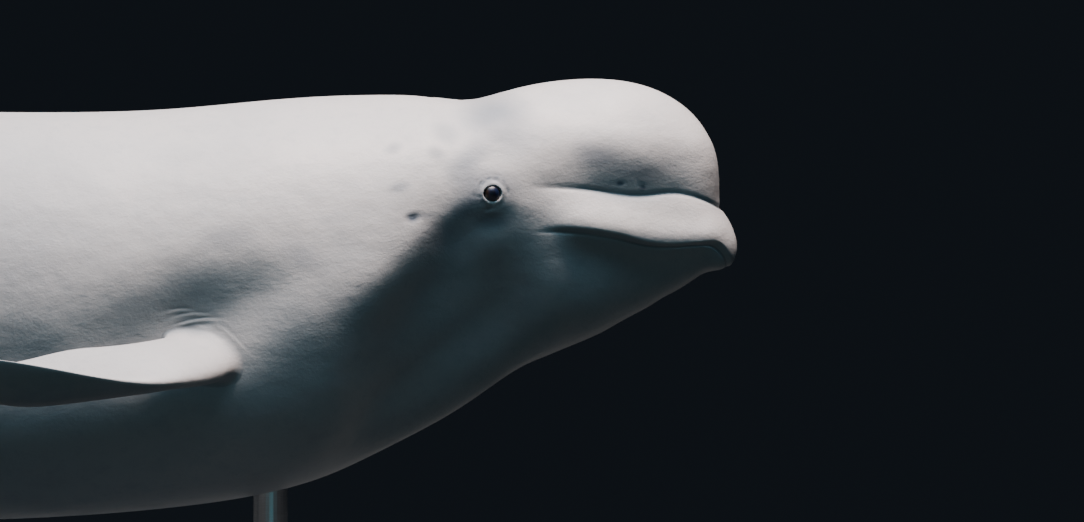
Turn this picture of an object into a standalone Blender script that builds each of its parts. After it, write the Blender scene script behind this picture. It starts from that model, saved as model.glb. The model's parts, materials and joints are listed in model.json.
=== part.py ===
import bpy
import bmesh
import math
import mathutils
import numpy as np

for old in list(bpy.data.objects):
    bpy.data.objects.remove(old, do_unlink=True)

# Sizes in metres. X runs forward, Y to the left, Z up, and the origin is
# the middle of the underside of the stand's base. The body is laid out in
# whale measure: back from the snout tip, out from the midline, and up from
# a level a little below the mouth.
NOSE_X = 1.58
LEVEL_Z = 0.75
FACE_GAP = 0.0003
PART_GAP = 0.0004
SIDE_COLUMNS = 20

# Ring stations from the mouth to the tail stock. Each is a slanted oval:
# crown back and up, keel back and up, half width, widest level as a
# fraction down, squareness, and mouth line as a fraction down.
STATIONS = np.array([
    [0.019, 0.050, 0.019, 0.050, 0.000, 0.50, 2.0, 0.46],
    [0.007, 0.062, 0.034, 0.042, 0.034, 0.50, 2.0, 0.46],
    [0.000, 0.085, 0.052, 0.034, 0.056, 0.50, 2.0, 0.42],
    [0.004, 0.111, 0.070, 0.025, 0.071, 0.49, 2.0, 0.40],
    [0.014, 0.142, 0.086, 0.017, 0.081, 0.49, 2.0, 0.44],
    [0.022, 0.172, 0.102, 0.009, 0.089, 0.49, 2.0, 0.51],
    [0.028, 0.206, 0.119, 0.001, 0.096, 0.49, 2.0, 0.575],
    [0.039, 0.249, 0.140, -0.011, 0.104, 0.48, 2.0, 0.625],
    [0.060, 0.289, 0.164, -0.023, 0.112, 0.48, 2.05, 0.65],
    [0.093, 0.321, 0.192, -0.037, 0.122, 0.48, 2.05, 0.648],
    [0.141, 0.346, 0.225, -0.055, 0.136, 0.48, 2.1, 0.62],
    [0.203, 0.359, 0.267, -0.073, 0.152, 0.49, 2.1, 0.587],
    [0.272, 0.359, 0.313, -0.092, 0.169, 0.50, 2.1, 0.552],
    [0.337, 0.350, 0.357, -0.112, 0.187, 0.46, 2.1, 0.53],
    [0.399, 0.334, 0.409, -0.147, 0.205, 0.42, 2.1, 0.53],
    [0.454, 0.324, 0.461, -0.182, 0.219, 0.43, 2.1, 0.53],
    [0.508, 0.331, 0.516, -0.213, 0.238, 0.46, 2.1, 0.53],
    [0.573, 0.334, 0.585, -0.248, 0.258, 0.50, 2.1, 0.53],
    [0.663, 0.332, 0.671, -0.287, 0.279, 0.52, 2.15, 0.53],
    [0.777, 0.324, 0.780, -0.317, 0.301, 0.53, 2.2, 0.53],
    [0.908, 0.312, 0.908, -0.336, 0.319, 0.535, 2.2, 0.53],
    [1.054, 0.306, 1.054, -0.349, 0.335, 0.535, 2.2, 0.52],
    [1.250, 0.306, 1.250, -0.358, 0.348, 0.53, 2.2, 0.51],
    [1.500, 0.305, 1.500, -0.361, 0.354, 0.53, 2.2, 0.50],
    [1.800, 0.296, 1.800, -0.349, 0.345, 0.53, 2.2, 0.50],
    [2.100, 0.274, 2.100, -0.321, 0.314, 0.53, 2.15, 0.50],
    [2.400, 0.240, 2.400, -0.280, 0.266, 0.53, 2.1, 0.50],
    [2.700, 0.189, 2.700, -0.234, 0.212, 0.52, 2.05, 0.50],
    [3.000, 0.128, 3.000, -0.195, 0.158, 0.51, 2.0, 0.50],
    [3.250, 0.072, 3.250, -0.172, 0.117, 0.50, 2.0, 0.50],
    [3.450, 0.030, 3.450, -0.161, 0.084, 0.50, 2.0, 0.50],
    [3.620, 0.000, 3.620, -0.158, 0.062, 0.50, 2.0, 0.50],
])
MOUTH_TURN = 0.52 * math.pi
MOUTH_START_KNOT = 0.03
MOUTH_CORNER_KNOT = 2.80
JAW_CUT_STEPS = 15
JAW_CUT_FRONT = (-0.05, 0.003)
JAW_CUT_REAR = np.array([[0.345, 0.020], [0.372, -0.110], [0.390, -0.200]])
JAW_CUT_HALF_WIDTH = 0.4

# Soft rises and hollows of the flank: back, up, reach back, reach up, height
RELIEF = (
    (0.395, 0.176, 0.032, 0.026, 0.0030),
    (0.392, 0.126, 0.034, 0.024, -0.0075),
    (0.443, 0.108, 0.044, 0.045, -0.0120),
    (0.470, 0.060, 0.050, 0.090, -0.0060),
    (0.760, 0.010, 0.050, 0.056, -0.0100),
    (0.850, -0.026, 0.078, 0.068, -0.0265),
    (0.955, -0.068, 0.085, 0.064, -0.0165),
    (1.130, -0.105, 0.110, 0.060, -0.0110),
    (0.690, -0.030, 0.060, 0.055, 0.0070),
    (0.610, 0.025, 0.060, 0.050, 0.0060),
    (0.330, 0.235, 0.060, 0.050, 0.0040),
    (0.374, 0.252, 0.045, 0.045, -0.0060),
)
SIDE_FADE = 0.05

# Jowl: how far it falls in below a line from the eye down to the neck
JOWL_DEPTH = 0.0550
JOWL_BACK = 0.440
JOWL_UP = 0.204
JOWL_BEND = 0.06
JOWL_REACH = 0.110
JOWL_SLOPE = 1.15
JOWL_BOW = 1.0
JOWL_FRONT_SLOPE = 0.35
JOWL_OUT = 0.16
JOWL_START = (0.28, 0.38)
JOWL_END = (0.52, 0.68)

# Crease between melon and upper lip: back, up and how deep the melon's base
# lies there
LIP_CREASE = np.array([
    [0.020, 0.154, 0.010], [0.036, 0.160, 0.010], [0.065, 0.169, 0.010],
    [0.097, 0.1745, 0.012], [0.157, 0.169, 0.0140], [0.212, 0.1753, 0.0165],
    [0.270, 0.182, 0.009], [0.350, 0.180, 0.001], [0.450, 0.172, 0.000],
])
RECESS_REACH_UP = 0.034
RECESS_REACH_DOWN = 0.020
RECESS_POWER = 1.35
MELON_LIFT = 0.45
MELON_ABOVE = 0.082
MELON_REACH = 0.036
MELON_FADE = 0.04

# Upper lip and lower jaw, by the drop below the mouth line
LIP_END = (0.240, 0.325)
LIP_RISE = 0.0175
LIP_LEVEL = -0.013
LIP_REACH = 0.032
LIP_FADE = 0.06
LIP_FRONT = 0.25
LIP_START = (0.005, 0.065)
LIP_STEP = 0.0105
STEP = (-0.011, -0.001)
STEP_FRONT = 0.35
STEP_START = (0.012, 0.057)
JAW = (0.02, 0.14)

# Low ridge along the back
RIDGE_HEIGHT = 0.026
RIDGE_MIDDLE = 2.22
RIDGE_REACH = 0.30
RIDGE_HALF_WIDTH = 0.030
RIDGE_FADE = 0.1
RIDGE_CUT_HALF_WIDTH = 0.045
RIDGE_CUT = np.array([[1.89, 0.268], [2.55, 0.195], [2.55, 0.400], [1.89, 0.400]])

# Tail flukes
NOTCH_BACK = 3.975
FLUKE_TIP_BACK = 3.968
FLUKE_HALF_SPAN = 0.470
FLUKE_HALF_THICK = 0.016
FLUKE_FALL = 0.045
FLUKE_CUT = np.array([
    [3.640, 0.082], [3.800, 0.036], [4.120, 0.010], [4.120, 0.600], [3.640, 0.600],
])
FLUKE_CUT_LOW = 0.4
FLUKE_CUT_HIGH = 1.0

# Flippers: middle line, the way each section's front edge points at the root,
# the middle and the tip, and by place the reach ahead, behind and half thickness
FLIPPER_COLUMNS = 16
FLIPPER_ROOT = (0.838, 0.238, -0.076)
FLIPPER_BEND = (0.888, 0.555, -0.116)
FLIPPER_TIP = (1.270, 0.550, -0.078)
FLIPPER_CHORDS = ((-0.90, 0.10, -0.56), (-0.60, 0.79, -0.25), (-0.60, 0.79, 0.02))
FLIPPER_CAMBER = 0.052
FLIPPER_SIZES = np.array([
    [0.00, 0.058, 0.056, 0.024], [0.15, 0.060, 0.056, 0.024],
    [0.32, 0.082, 0.076, 0.023], [0.48, 0.112, 0.104, 0.020],
    [0.64, 0.124, 0.124, 0.015], [0.80, 0.122, 0.132, 0.012],
    [1.00, 0.120, 0.135, 0.009],
])
FLIPPER_CLOSING = 0.70
POCKET_START = -0.003
POCKET_RINGS = 6

# Ring places where one length of the body ends, and rings in each
HEAD_END = 3.60
NECK_END = 4.62
TRUNK_END = 9.35
HEAD_RINGS = 26
NECK_RINGS = 5
TRUNK_RINGS = 15
TAIL_RINGS = 9
FLUKE_RINGS = 9
FLIPPER_RINGS = 13

# Eyes, blowhole and stand
EYE_RADIUS = 0.016
EYE_PLACE = (0.395, 0.170)
EYE_SINK = 0.0125
ROD_X = 0.82
ROD_RADIUS = 0.028
ROD_SOCKET = 0.060
BASE_LENGTH = 2.00
BASE_WIDTH = 0.80
BASE_HEIGHT = 0.035
BASE_CORNER = 0.06
ROD_SIDES = 28
HOLE_LOW = 0.2
CORNER_STEPS = 7
STAND_ANGLE = math.radians(30)
FRONT_KEEL = -0.313
REAR_KEEL = -0.280
BLOWHOLE_BACK = 0.452
BLOWHOLE_LEFT = 0.010
BLOWHOLE_RADIUS = 0.024
BLOWHOLE_WIDTH = 0.006
BLOWHOLE_FLOOR = 0.308
BLOWHOLE_TOP = 0.40
BLOWHOLE_ARC = math.radians(68)
BLOWHOLE_STEPS = 9
BLOWHOLE_SQUEEZE = 0.92
SOFT_ANGLE = math.radians(40)

# Colour, roughness and metallic of each finish
FINISHES = {
    "skin": ((0.80, 0.81, 0.81), 0.45, 0.0),
    "eye": ((0.03, 0.025, 0.03), 0.12, 0.0),
    "base": ((0.10, 0.10, 0.11), 0.55, 0.0),
    "rod": ((0.62, 0.63, 0.65), 0.30, 1.0),
}


def smooth_spline(knots, values, at):
    """Natural cubic spline through values at knots, read at each place in at."""
    gap = np.diff(knots)
    rise = np.diff(values, axis=0) / gap[:, None]
    count = len(knots)
    system = np.eye(count)
    right = np.zeros_like(values)
    inner = np.arange(1, count - 1)
    system[inner, inner - 1] = gap[:-1]
    system[inner, inner] = 2 * (gap[:-1] + gap[1:])
    system[inner, inner + 1] = gap[1:]
    right[inner] = 6 * np.diff(rise, axis=0)
    bend = np.linalg.solve(system, right)
    cell = np.clip(np.searchsorted(knots, at, side="right") - 1, 0, count - 2)
    width = gap[cell][:, None]
    left = (at - knots[cell])[:, None]
    rest = width - left
    return (
        (bend[cell] * rest ** 3 + bend[cell + 1] * left ** 3) / (6 * width)
        + (values[cell] / width - bend[cell] * width / 6) * rest
        + (values[cell + 1] / width - bend[cell + 1] * width / 6) * left
    )


def station_knots():
    """Running sum of the square roots of the steps between stations."""
    steps = np.linalg.norm(np.diff(STATIONS[:, :4], axis=0), axis=1)
    return np.concatenate([[0.0], np.cumsum(np.sqrt(steps))])


KNOTS = station_knots()


def easy_step(value):
    """Smooth rise from 0 to 1 as value goes from 0 to 1."""
    value = np.clip(value, 0.0, 1.0)
    return value * value * (3 - 2 * value)


def change(value, ends):
    """Smooth rise from 0 to 1 as value goes from one end to the other."""
    return easy_step((value - ends[0]) / (ends[1] - ends[0]))


def bell(value, middle, reach):
    """Smooth bump of height 1 around middle."""
    return np.exp(-((value - middle) / reach) ** 2)


def mouth_angle(row_fraction, widest):
    """Cosine on the ring at which the given fraction down is reached."""
    skew = widest - 0.5
    skew = np.where(np.abs(skew) < 1e-6, 1e-6, skew)
    inside = 0.25 - 4 * skew * (row_fraction - widest)
    return (np.sqrt(inside) - 0.5) / (2 * skew)


def plain_oval(at, turn):
    """Base body: slanted ovals of a superellipse, skewed to their widest level.

    at holds ring places in knots, turn the angles from crown 0 to keel pi.
    The angles are shifted so that the angle MOUTH_TURN follows the mouth line.
    Returns back, out, up and the drop below the mouth line.
    """
    rows = smooth_spline(KNOTS, STATIONS, at)
    crown = rows[:, None, 0:2]
    keel = rows[:, None, 2:4]
    half, widest, square, mouth = (rows[:, i, None] for i in range(4, 8))
    level = mouth_angle(mouth, widest)
    side = (1 - np.abs(level) ** square) ** (1 / square)
    shift = np.arctan2(side, level) - MOUTH_TURN
    above = turn / MOUTH_TURN
    below = (math.pi - turn) / (math.pi - MOUTH_TURN)
    share = np.where(turn < MOUTH_TURN, above * (2 - above), below * (2 - below))
    angle = turn + shift * share
    cosine = np.cos(angle)
    sine = np.sin(angle)
    radius = (np.abs(sine) ** square + np.abs(cosine) ** square) ** (-1 / square)
    down = radius * cosine
    fraction = 0.5 * (1 - down) + (widest - 0.5) * (1 - down * down)
    place = crown + (keel - crown) * fraction[..., None]
    length = np.linalg.norm(keel - crown, axis=2)
    out = half * radius * sine
    return place[..., 0], out, place[..., 1], (fraction - mouth) * length


def relief(back, out, up, drop):
    """Height of the broad forms over the plain ovals at each point."""
    rise = np.zeros_like(back)
    for middle_back, middle_up, reach_back, reach_up, height in RELIEF:
        spread = ((back - middle_back) / reach_back) ** 2
        spread = spread + ((up - middle_up) / reach_up) ** 2
        rise += height * np.exp(-spread) * easy_step(out / SIDE_FADE)

    # Below a line from the eye down to the neck the jowl falls inward
    behind = 0.5 * (back - JOWL_BACK + np.hypot(back - JOWL_BACK, JOWL_BEND))
    ahead = behind - (back - JOWL_BACK)
    line = JOWL_UP - JOWL_SLOPE * behind + JOWL_BOW * behind ** 2
    line = line - JOWL_FRONT_SLOPE * ahead
    below = np.maximum(line - up, 0.0) / JOWL_REACH
    jowl = (1 - np.exp(-below ** 2)) * easy_step(out / JOWL_OUT)
    jowl = jowl * change(back, JOWL_START) * (1 - change(back, JOWL_END))
    rise -= JOWL_DEPTH * jowl

    # The melon's base sinks in above the upper lip and swells out over it
    course = np.clip(back, LIP_CREASE[0, 0], LIP_CREASE[-1, 0]).ravel()
    crease = smooth_spline(LIP_CREASE[:, 0], LIP_CREASE[:, 1:], course)
    crease = crease.reshape(back.shape + (2,))
    off = up - crease[..., 0]
    depth = crease[..., 1]
    reach = np.where(off > 0, RECESS_REACH_UP, RECESS_REACH_DOWN)
    rise -= depth * np.exp(-(np.abs(off) / reach) ** RECESS_POWER)
    swell = bell(off, MELON_ABOVE, MELON_REACH) * easy_step(out / MELON_FADE)
    rise += MELON_LIFT * depth * swell

    # The upper lip is a ledge over the set-in lower jaw
    lip = 1 - change(back, LIP_END)
    ledge = lip * easy_step(out / LIP_FADE)
    ledge = ledge * (LIP_FRONT + (1 - LIP_FRONT) * change(back, LIP_START))
    rise += LIP_RISE * bell(drop, LIP_LEVEL, LIP_REACH) * ledge
    front = STEP_FRONT + (1 - STEP_FRONT) * change(back, STEP_START)
    tuck = front * change(drop, STEP) - change(drop, JAW)
    rise -= LIP_STEP * tuck * lip

    # Low ridge along the back
    ridge = np.exp(-((back - RIDGE_MIDDLE) / RIDGE_REACH) ** 4)
    crest = bell(out, 0, RIDGE_HALF_WIDTH) * easy_step(up / RIDGE_FADE)
    rise += RIDGE_HEIGHT * ridge * crest
    return rise


def body_grid(at, turn):
    """Skin points of the right half as an array of rings by columns by 3."""
    at = np.asarray(at, float)[:, None]
    turn = np.asarray(turn, float)[None, :]
    near = 1e-4
    first = np.clip(at[:, 0], 0.02, None)
    base = plain_oval(at[:, 0], turn)
    ahead = plain_oval(first - near, turn)
    behind = plain_oval(first + near, turn)
    before = plain_oval(first, turn - near)
    after = plain_oval(first, turn + near)
    along = np.stack([behind[i] - ahead[i] for i in range(3)], axis=2)
    around = np.stack([after[i] - before[i] for i in range(3)], axis=2)
    normal = np.cross(along, around)
    normal /= np.linalg.norm(normal, axis=2, keepdims=True)
    points = np.stack(base[:3], axis=2)
    rise = relief(*base) * easy_step(at / 0.12)
    return points + normal * rise[..., None]


def fluke_edges(span):
    """Leading and trailing edge of one fluke as back and out, for span 0 to 1."""
    lead = np.array([
        [3.620, 0.062], [3.665, 0.064], [3.705, 0.092], [3.745, 0.160],
        [3.795, 0.255], [3.862, 0.362], [3.925, 0.440], [3.968, 0.470],
    ])
    trail = np.array([
        [3.975, 0.000], [3.992, 0.030], [4.022, 0.095], [4.038, 0.175],
        [4.035, 0.265], [4.018, 0.350], [3.992, 0.425], [3.968, 0.470],
    ])
    steps = np.linspace(0, 1, len(lead))
    return smooth_spline(steps, lead, span), smooth_spline(steps, trail, span)


def fluke_grid(along, turn):
    """Rings that spread from the tail stock over the right fluke.

    The plan is the patch between the stock's last ring, the midline, the
    leading and the trailing edge. Height is the stock's fading oval joined
    with a blade that thins to its edges.
    """
    along = np.asarray(along, float)[:, None]
    turn = np.asarray(turn, float)[None, :]
    reach = np.sin(turn) + 0 * along
    lead, _ = fluke_edges(along[:, 0])
    _, trail = fluke_edges(reach[0])
    start = STATIONS[-1]
    stock = np.stack([start[0] + 0 * reach, start[4] * reach], axis=2)
    middle = np.stack([start[0] + (NOTCH_BACK - start[0]) * along + 0 * reach,
                       0 * reach], axis=2)
    corner_lead = np.array([start[0], start[4]])
    corner_notch = np.array([NOTCH_BACK, 0.0])
    corner_tip = np.array([FLUKE_TIP_BACK, FLUKE_HALF_SPAN])
    a = along[..., None] + 0 * reach[..., None]
    r = reach[..., None]
    plan = (1 - a) * stock + a * trail[None] + (1 - r) * middle + r * lead[:, None]
    plan -= (1 - a) * (1 - r) * np.array([start[0], 0.0]) + (1 - a) * r * corner_lead
    plan -= a * (1 - r) * corner_notch + a * r * corner_tip
    back = plan[..., 0]
    out = plan[..., 1]
    stock_half = 0.5 * (start[1] - start[3])
    fade = 1 - easy_step(along / 0.9)
    stock_width = start[4] * (1 - 0.55 * along)
    oval = np.clip(1 - (out / stock_width) ** 2, 0, None)
    core = stock_half * fade * np.sqrt(oval)
    tip = 1 - 0.6 * np.clip(out / FLUKE_HALF_SPAN, 0, 1)
    edge = np.sqrt(np.clip(1 - reach ** 2, 0, None))
    thin = 1 - 0.85 * easy_step(along)
    blade = FLUKE_HALF_THICK * tip * thin * np.sqrt(edge) * easy_step(along / 0.25)
    half = np.sqrt(core ** 2 + blade ** 2)
    half = half * np.sqrt(np.clip(1 - along ** 24, 0, 1))
    level = 0.5 * (start[1] + start[3]) - FLUKE_FALL * (back - start[0])
    side = np.where(np.cos(turn) >= 0, 1.0, -1.0)
    side = np.where(np.abs(np.cos(turn)) < 1e-9, 0.0, side)
    return np.stack([back, out, level + side * half], axis=2)


def flipper_grid(along, turn, grow=0.0):
    """Rings of the right flipper from its plug inside the flank to its tip.

    The middle line is a bent curve through root, bend and tip. Each ring is
    an oval, thicker in front, cupped downward, with its front edge turned up.
    """
    along = np.asarray(along, float)
    u = along[:, None]
    root, bend, tip = (np.array(p) for p in (FLIPPER_ROOT, FLIPPER_BEND, FLIPPER_TIP))
    line = (1 - u) ** 2 * root + 2 * u * (1 - u) * bend + u * u * tip
    tangent = 2 * (1 - u) * (bend - root) + 2 * u * (tip - bend)
    tangent /= np.linalg.norm(tangent, axis=1, keepdims=True)
    first, second, third = (np.array(c) for c in FLIPPER_CHORDS)
    chord = first + (second - first) * easy_step(u / 0.45)
    chord = chord + (third - chord) * easy_step((u - 0.40) / 0.45)
    chord -= tangent * np.sum(chord * tangent, axis=1, keepdims=True)
    chord /= np.linalg.norm(chord, axis=1, keepdims=True)
    upward = np.cross(chord, tangent)
    upward *= np.sign(upward[:, 2:3])
    size = smooth_spline(FLIPPER_SIZES[:, 0], FLIPPER_SIZES[:, 1:], along)
    last = np.clip((along - FLIPPER_CLOSING) / (1 - FLIPPER_CLOSING), 0, 1)
    closing = np.sqrt(1 - last ** 2.2)
    lead = size[:, 0:1] * closing[:, None] + grow
    trail = size[:, 1:2] * closing[:, None] + grow
    thick = size[:, 2:3] * closing[:, None] ** 0.7 + grow
    turn = np.asarray(turn, float)[None, :]
    cosine = np.cos(turn)
    sine = np.sin(turn)
    reach = np.where(cosine > 0, lead * cosine, trail * cosine)
    height = thick * sine * (1 + 0.25 * cosine)
    cup = FLIPPER_CAMBER * easy_step((u - 0.34) / 0.46) * closing[:, None]
    height = height - cup * (1 - cosine ** 2) * (1 + 0.3 * cosine)
    return (line[:, None] + chord[:, None] * reach[..., None]
            + upward[:, None] * height[..., None])


def to_world(points, side):
    """Whale measure to world metres; side is -1 for the right, 1 for the left."""
    points = np.asarray(points, float)
    return np.stack([NOSE_X - points[..., 0], side * points[..., 1],
                     LEVEL_Z + points[..., 2]], axis=-1)


def full_rings(half):
    """Both sides of a half grid as closed rings, from crown round the right."""
    right = to_world(half, -1)
    left = to_world(half[:, -2:0:-1], 1)
    return np.concatenate([right, left], axis=1)


def ring_mesh(name, rings, close_start, close_end):
    """Closed mesh over rings of equal count, with fans over its ends."""
    count, columns = rings.shape[:2]
    points = [tuple(p) for p in rings.reshape(-1, 3)]
    faces = []
    for i in range(count - 1):
        for j in range(columns):
            k = (j + 1) % columns
            a, b = i * columns + j, i * columns + k
            faces.append((a, b, b + columns))
            faces.append((a, b + columns, a + columns))
    for i, close in ((0, close_start), (count - 1, close_end)):
        if close is None:
            continue
        middle = len(points)
        points.append(tuple(close))
        for j in range(columns):
            k = (j + 1) % columns
            face = (i * columns + j, i * columns + k, middle)
            faces.append(face if i else face[::-1])
    return solid(name, points, faces)


def solid(name, points, faces):
    """Object from points and faces, with shared points joined and faces out."""
    data = bpy.data.meshes.new(name)
    data.from_pydata([tuple(map(float, p)) for p in points], [], faces)
    work = bmesh.new()
    work.from_mesh(data)
    bmesh.ops.remove_doubles(work, verts=work.verts, dist=0.00001)
    bmesh.ops.dissolve_degenerate(work, edges=work.edges, dist=0.00001)
    bmesh.ops.recalc_face_normals(work, faces=work.faces)
    work.to_mesh(data)
    work.free()
    item = bpy.data.objects.new(name, data)
    bpy.context.scene.collection.objects.link(item)
    return item


def offset_outline(points, distance):
    """Closed outline moved outward by distance, sharp corners kept."""
    points = np.asarray(points, float)
    area = np.sum(points[:, 0] * np.roll(points[:, 1], -1)
                  - np.roll(points[:, 0], -1) * points[:, 1])
    edge = np.roll(points, -1, axis=0) - points
    edge /= np.linalg.norm(edge, axis=1, keepdims=True)
    outward = np.stack([edge[:, 1], -edge[:, 0]], axis=1) * np.sign(area)
    before = np.roll(outward, 1, axis=0)
    meet = outward + before
    meet /= np.sum(meet * outward, axis=1, keepdims=True)
    return points + meet * distance


def prism(name, outline, low, high, place):
    """Closed prism: outline points and two end levels, placed by a function."""
    count = len(outline)
    points = [place(p, low) for p in outline] + [place(p, high) for p in outline]
    faces = [tuple(range(count)), tuple(range(count, 2 * count))]
    for i in range(count):
        j = (i + 1) % count
        faces.append((i, j, count + j, count + i))
    return solid(name, points, faces)


def side_place(point, level):
    """Side-view point in whale measure, at a world Y level."""
    return (NOSE_X - point[0], level, LEVEL_Z + point[1])


def plan_place(point, level):
    """Plan point in world X and Y, at a world Z level."""
    return (point[0], point[1], level)


def ball(name, centre, radius):
    """Closed ball of triangles."""
    data = bpy.data.meshes.new(name)
    work = bmesh.new()
    bmesh.ops.create_icosphere(work, subdivisions=3, radius=radius)
    work.to_mesh(data)
    work.free()
    data.transform(mathutils.Matrix.Translation(centre))
    item = bpy.data.objects.new(name, data)
    bpy.context.scene.collection.objects.link(item)
    return item


def rod(name, x, low, high, radius):
    """Upright round rod."""
    turns = np.linspace(0, 2 * math.pi, ROD_SIDES, endpoint=False)
    outline = np.stack([x + radius * np.cos(turns), radius * np.sin(turns)], axis=1)
    return prism(name, outline, low, high, plan_place)


def combine(item, tool, operation):
    """Apply a Boolean of item with tool to item's own mesh."""
    step = item.modifiers.new("cut", "BOOLEAN")
    step.operation = operation
    step.solver = "EXACT"
    step.object = tool
    graph = bpy.context.evaluated_depsgraph_get()
    result = bpy.data.meshes.new_from_object(item.evaluated_get(graph))
    item.modifiers.clear()
    item.data = result


def copy_of(item, name):
    """Separate object with a copy of item's mesh."""
    twin = bpy.data.objects.new(name, item.data.copy())
    bpy.context.scene.collection.objects.link(twin)
    return twin


def drop(*items):
    """Remove helper solids."""
    for item in items:
        bpy.data.objects.remove(item, do_unlink=True)


def finish(item, name, finish_key, smooth_angle):
    """Name a part, give it its material and its shading."""
    item.name = name
    item.data.name = name
    colour, roughness, metallic = FINISHES[finish_key]
    material = bpy.data.materials.new(name)
    material.use_nodes = True
    shader = material.node_tree.nodes["Principled BSDF"]
    shader.inputs["Base Color"].default_value = (*colour, 1.0)
    shader.inputs["Roughness"].default_value = roughness
    shader.inputs["Metallic"].default_value = metallic
    item.data.materials.clear()
    item.data.materials.append(material)
    work = bmesh.new()
    work.from_mesh(item.data)
    bmesh.ops.recalc_face_normals(work, faces=work.faces)
    for face in work.faces:
        face.smooth = True
    for edge in work.edges:
        if len(edge.link_faces) == 2:
            edge.smooth = edge.calc_face_angle() < smooth_angle
    work.to_mesh(item.data)
    work.free()


def ring_turns():
    """Column angles of the right half, crown to keel."""
    return np.linspace(0, math.pi, SIDE_COLUMNS + 1)


def segment(name, places, lead_in, lead_out, more=None):
    """Closed length of the body between two ring planes, drawn in by half a gap."""
    turn = ring_turns()
    half = body_grid(places, turn)
    rows = smooth_spline(KNOTS, STATIONS, np.asarray(places, float))
    lean = rows[:, 2:4] - rows[:, 0:2]
    lean /= np.maximum(np.linalg.norm(lean, axis=1, keepdims=True), 1e-9)
    backward = np.stack([-lean[:, 1], 0 * lean[:, 0], lean[:, 0]], axis=1)
    if lead_in:
        half[0] += backward[0] * PART_GAP / 2
    if lead_out:
        half[-1] -= backward[-1] * PART_GAP / 2
    rings = full_rings(half)
    if more is not None:
        rings = np.concatenate([rings, full_rings(more)], axis=0)
    start = rings[0].mean(axis=0) if lead_in else None
    end = rings[-1].mean(axis=0) if lead_out else None
    return ring_mesh(name, rings, start, end)


def flank_point(back, up):
    """Point and outward direction on the right flank nearest a side-view place."""
    places = np.linspace(2.2, 4.2, 161)
    turn = np.linspace(0.1, 0.7, 121) * math.pi
    grid = body_grid(places, turn)
    miss = (grid[..., 0] - back) ** 2 + (grid[..., 2] - up) ** 2
    i, j = np.unravel_index(np.argmin(miss), miss.shape)
    along = grid[i + 1, j] - grid[i - 1, j]
    around = grid[i, j + 1] - grid[i, j - 1]
    outward = np.cross(along, around)
    outward /= np.linalg.norm(outward)
    return grid[i, j], outward


# Body in four lengths, the tail with its flukes still on
head = segment("head", HEAD_END * (np.arange(HEAD_RINGS + 1) / HEAD_RINGS) ** 1.15,
               False, True)
neck = segment("neck", np.linspace(HEAD_END, NECK_END, NECK_RINGS + 1), True, True)
trunk = segment("trunk", np.linspace(NECK_END, TRUNK_END, TRUNK_RINGS + 1), True, True)
fluke_steps = np.linspace(0, 1, FLUKE_RINGS + 1)[1:]
fluke_steps = np.sin(0.5 * math.pi * fluke_steps) ** 0.9
flukes = fluke_grid(fluke_steps, ring_turns())
tail_places = np.linspace(TRUNK_END, KNOTS[-1], TAIL_RINGS + 1)
tail_stock = segment("tail_stock", tail_places, True, False, flukes)

# Flukes parted from the stock by a long wedge in plan
for side, name in ((1, "fluke_left"), (-1, "fluke_right")):
    plan = np.stack([NOSE_X - FLUKE_CUT[:, 0], side * FLUKE_CUT[:, 1]], axis=1)
    tool = prism("cut", plan, FLUKE_CUT_LOW, FLUKE_CUT_HIGH, plan_place)
    fluke = copy_of(tail_stock, name)
    combine(fluke, tool, "INTERSECT")
    wide = prism("wide_cut", offset_outline(plan, PART_GAP), FLUKE_CUT_LOW,
                 FLUKE_CUT_HIGH, plan_place)
    combine(tail_stock, wide, "DIFFERENCE")
    drop(tool, wide)
    finish(fluke, name, "skin", SOFT_ANGLE)
finish(tail_stock, "tail_stock", "skin", SOFT_ANGLE)

# Lower jaw parted along the mouth line and down to the throat
mouth_places = np.linspace(MOUTH_START_KNOT, MOUTH_CORNER_KNOT, JAW_CUT_STEPS)
mouth = body_grid(mouth_places, np.array([MOUTH_TURN]))[:, 0][:, [0, 2]]
front, step = JAW_CUT_FRONT
jaw_outline = np.concatenate([
    [[front, mouth[0, 1] - step]], mouth, JAW_CUT_REAR, [[front, JAW_CUT_REAR[-1, 1]]]])
tool = prism("cut", jaw_outline, -JAW_CUT_HALF_WIDTH, JAW_CUT_HALF_WIDTH, side_place)
lower_jaw = copy_of(head, "lower_jaw")
combine(lower_jaw, tool, "INTERSECT")
wide = prism("wide_cut", offset_outline(jaw_outline, PART_GAP),
             -JAW_CUT_HALF_WIDTH - PART_GAP, JAW_CUT_HALF_WIDTH + PART_GAP, side_place)
combine(head, wide, "DIFFERENCE")
drop(tool, wide)
finish(lower_jaw, "lower_jaw", "skin", SOFT_ANGLE)

# Eyes in open sockets, one each side
surface, outward = flank_point(*EYE_PLACE)
centre = surface - outward * EYE_SINK
for side, name in ((1, "eye_left"), (-1, "eye_right")):
    middle = tuple(float(v) for v in to_world(centre, side))
    eye = ball(name, middle, EYE_RADIUS)
    socket = ball("socket", middle, EYE_RADIUS + PART_GAP)
    combine(head, socket, "DIFFERENCE")
    drop(socket)
    finish(eye, name, "eye", SOFT_ANGLE)

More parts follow.
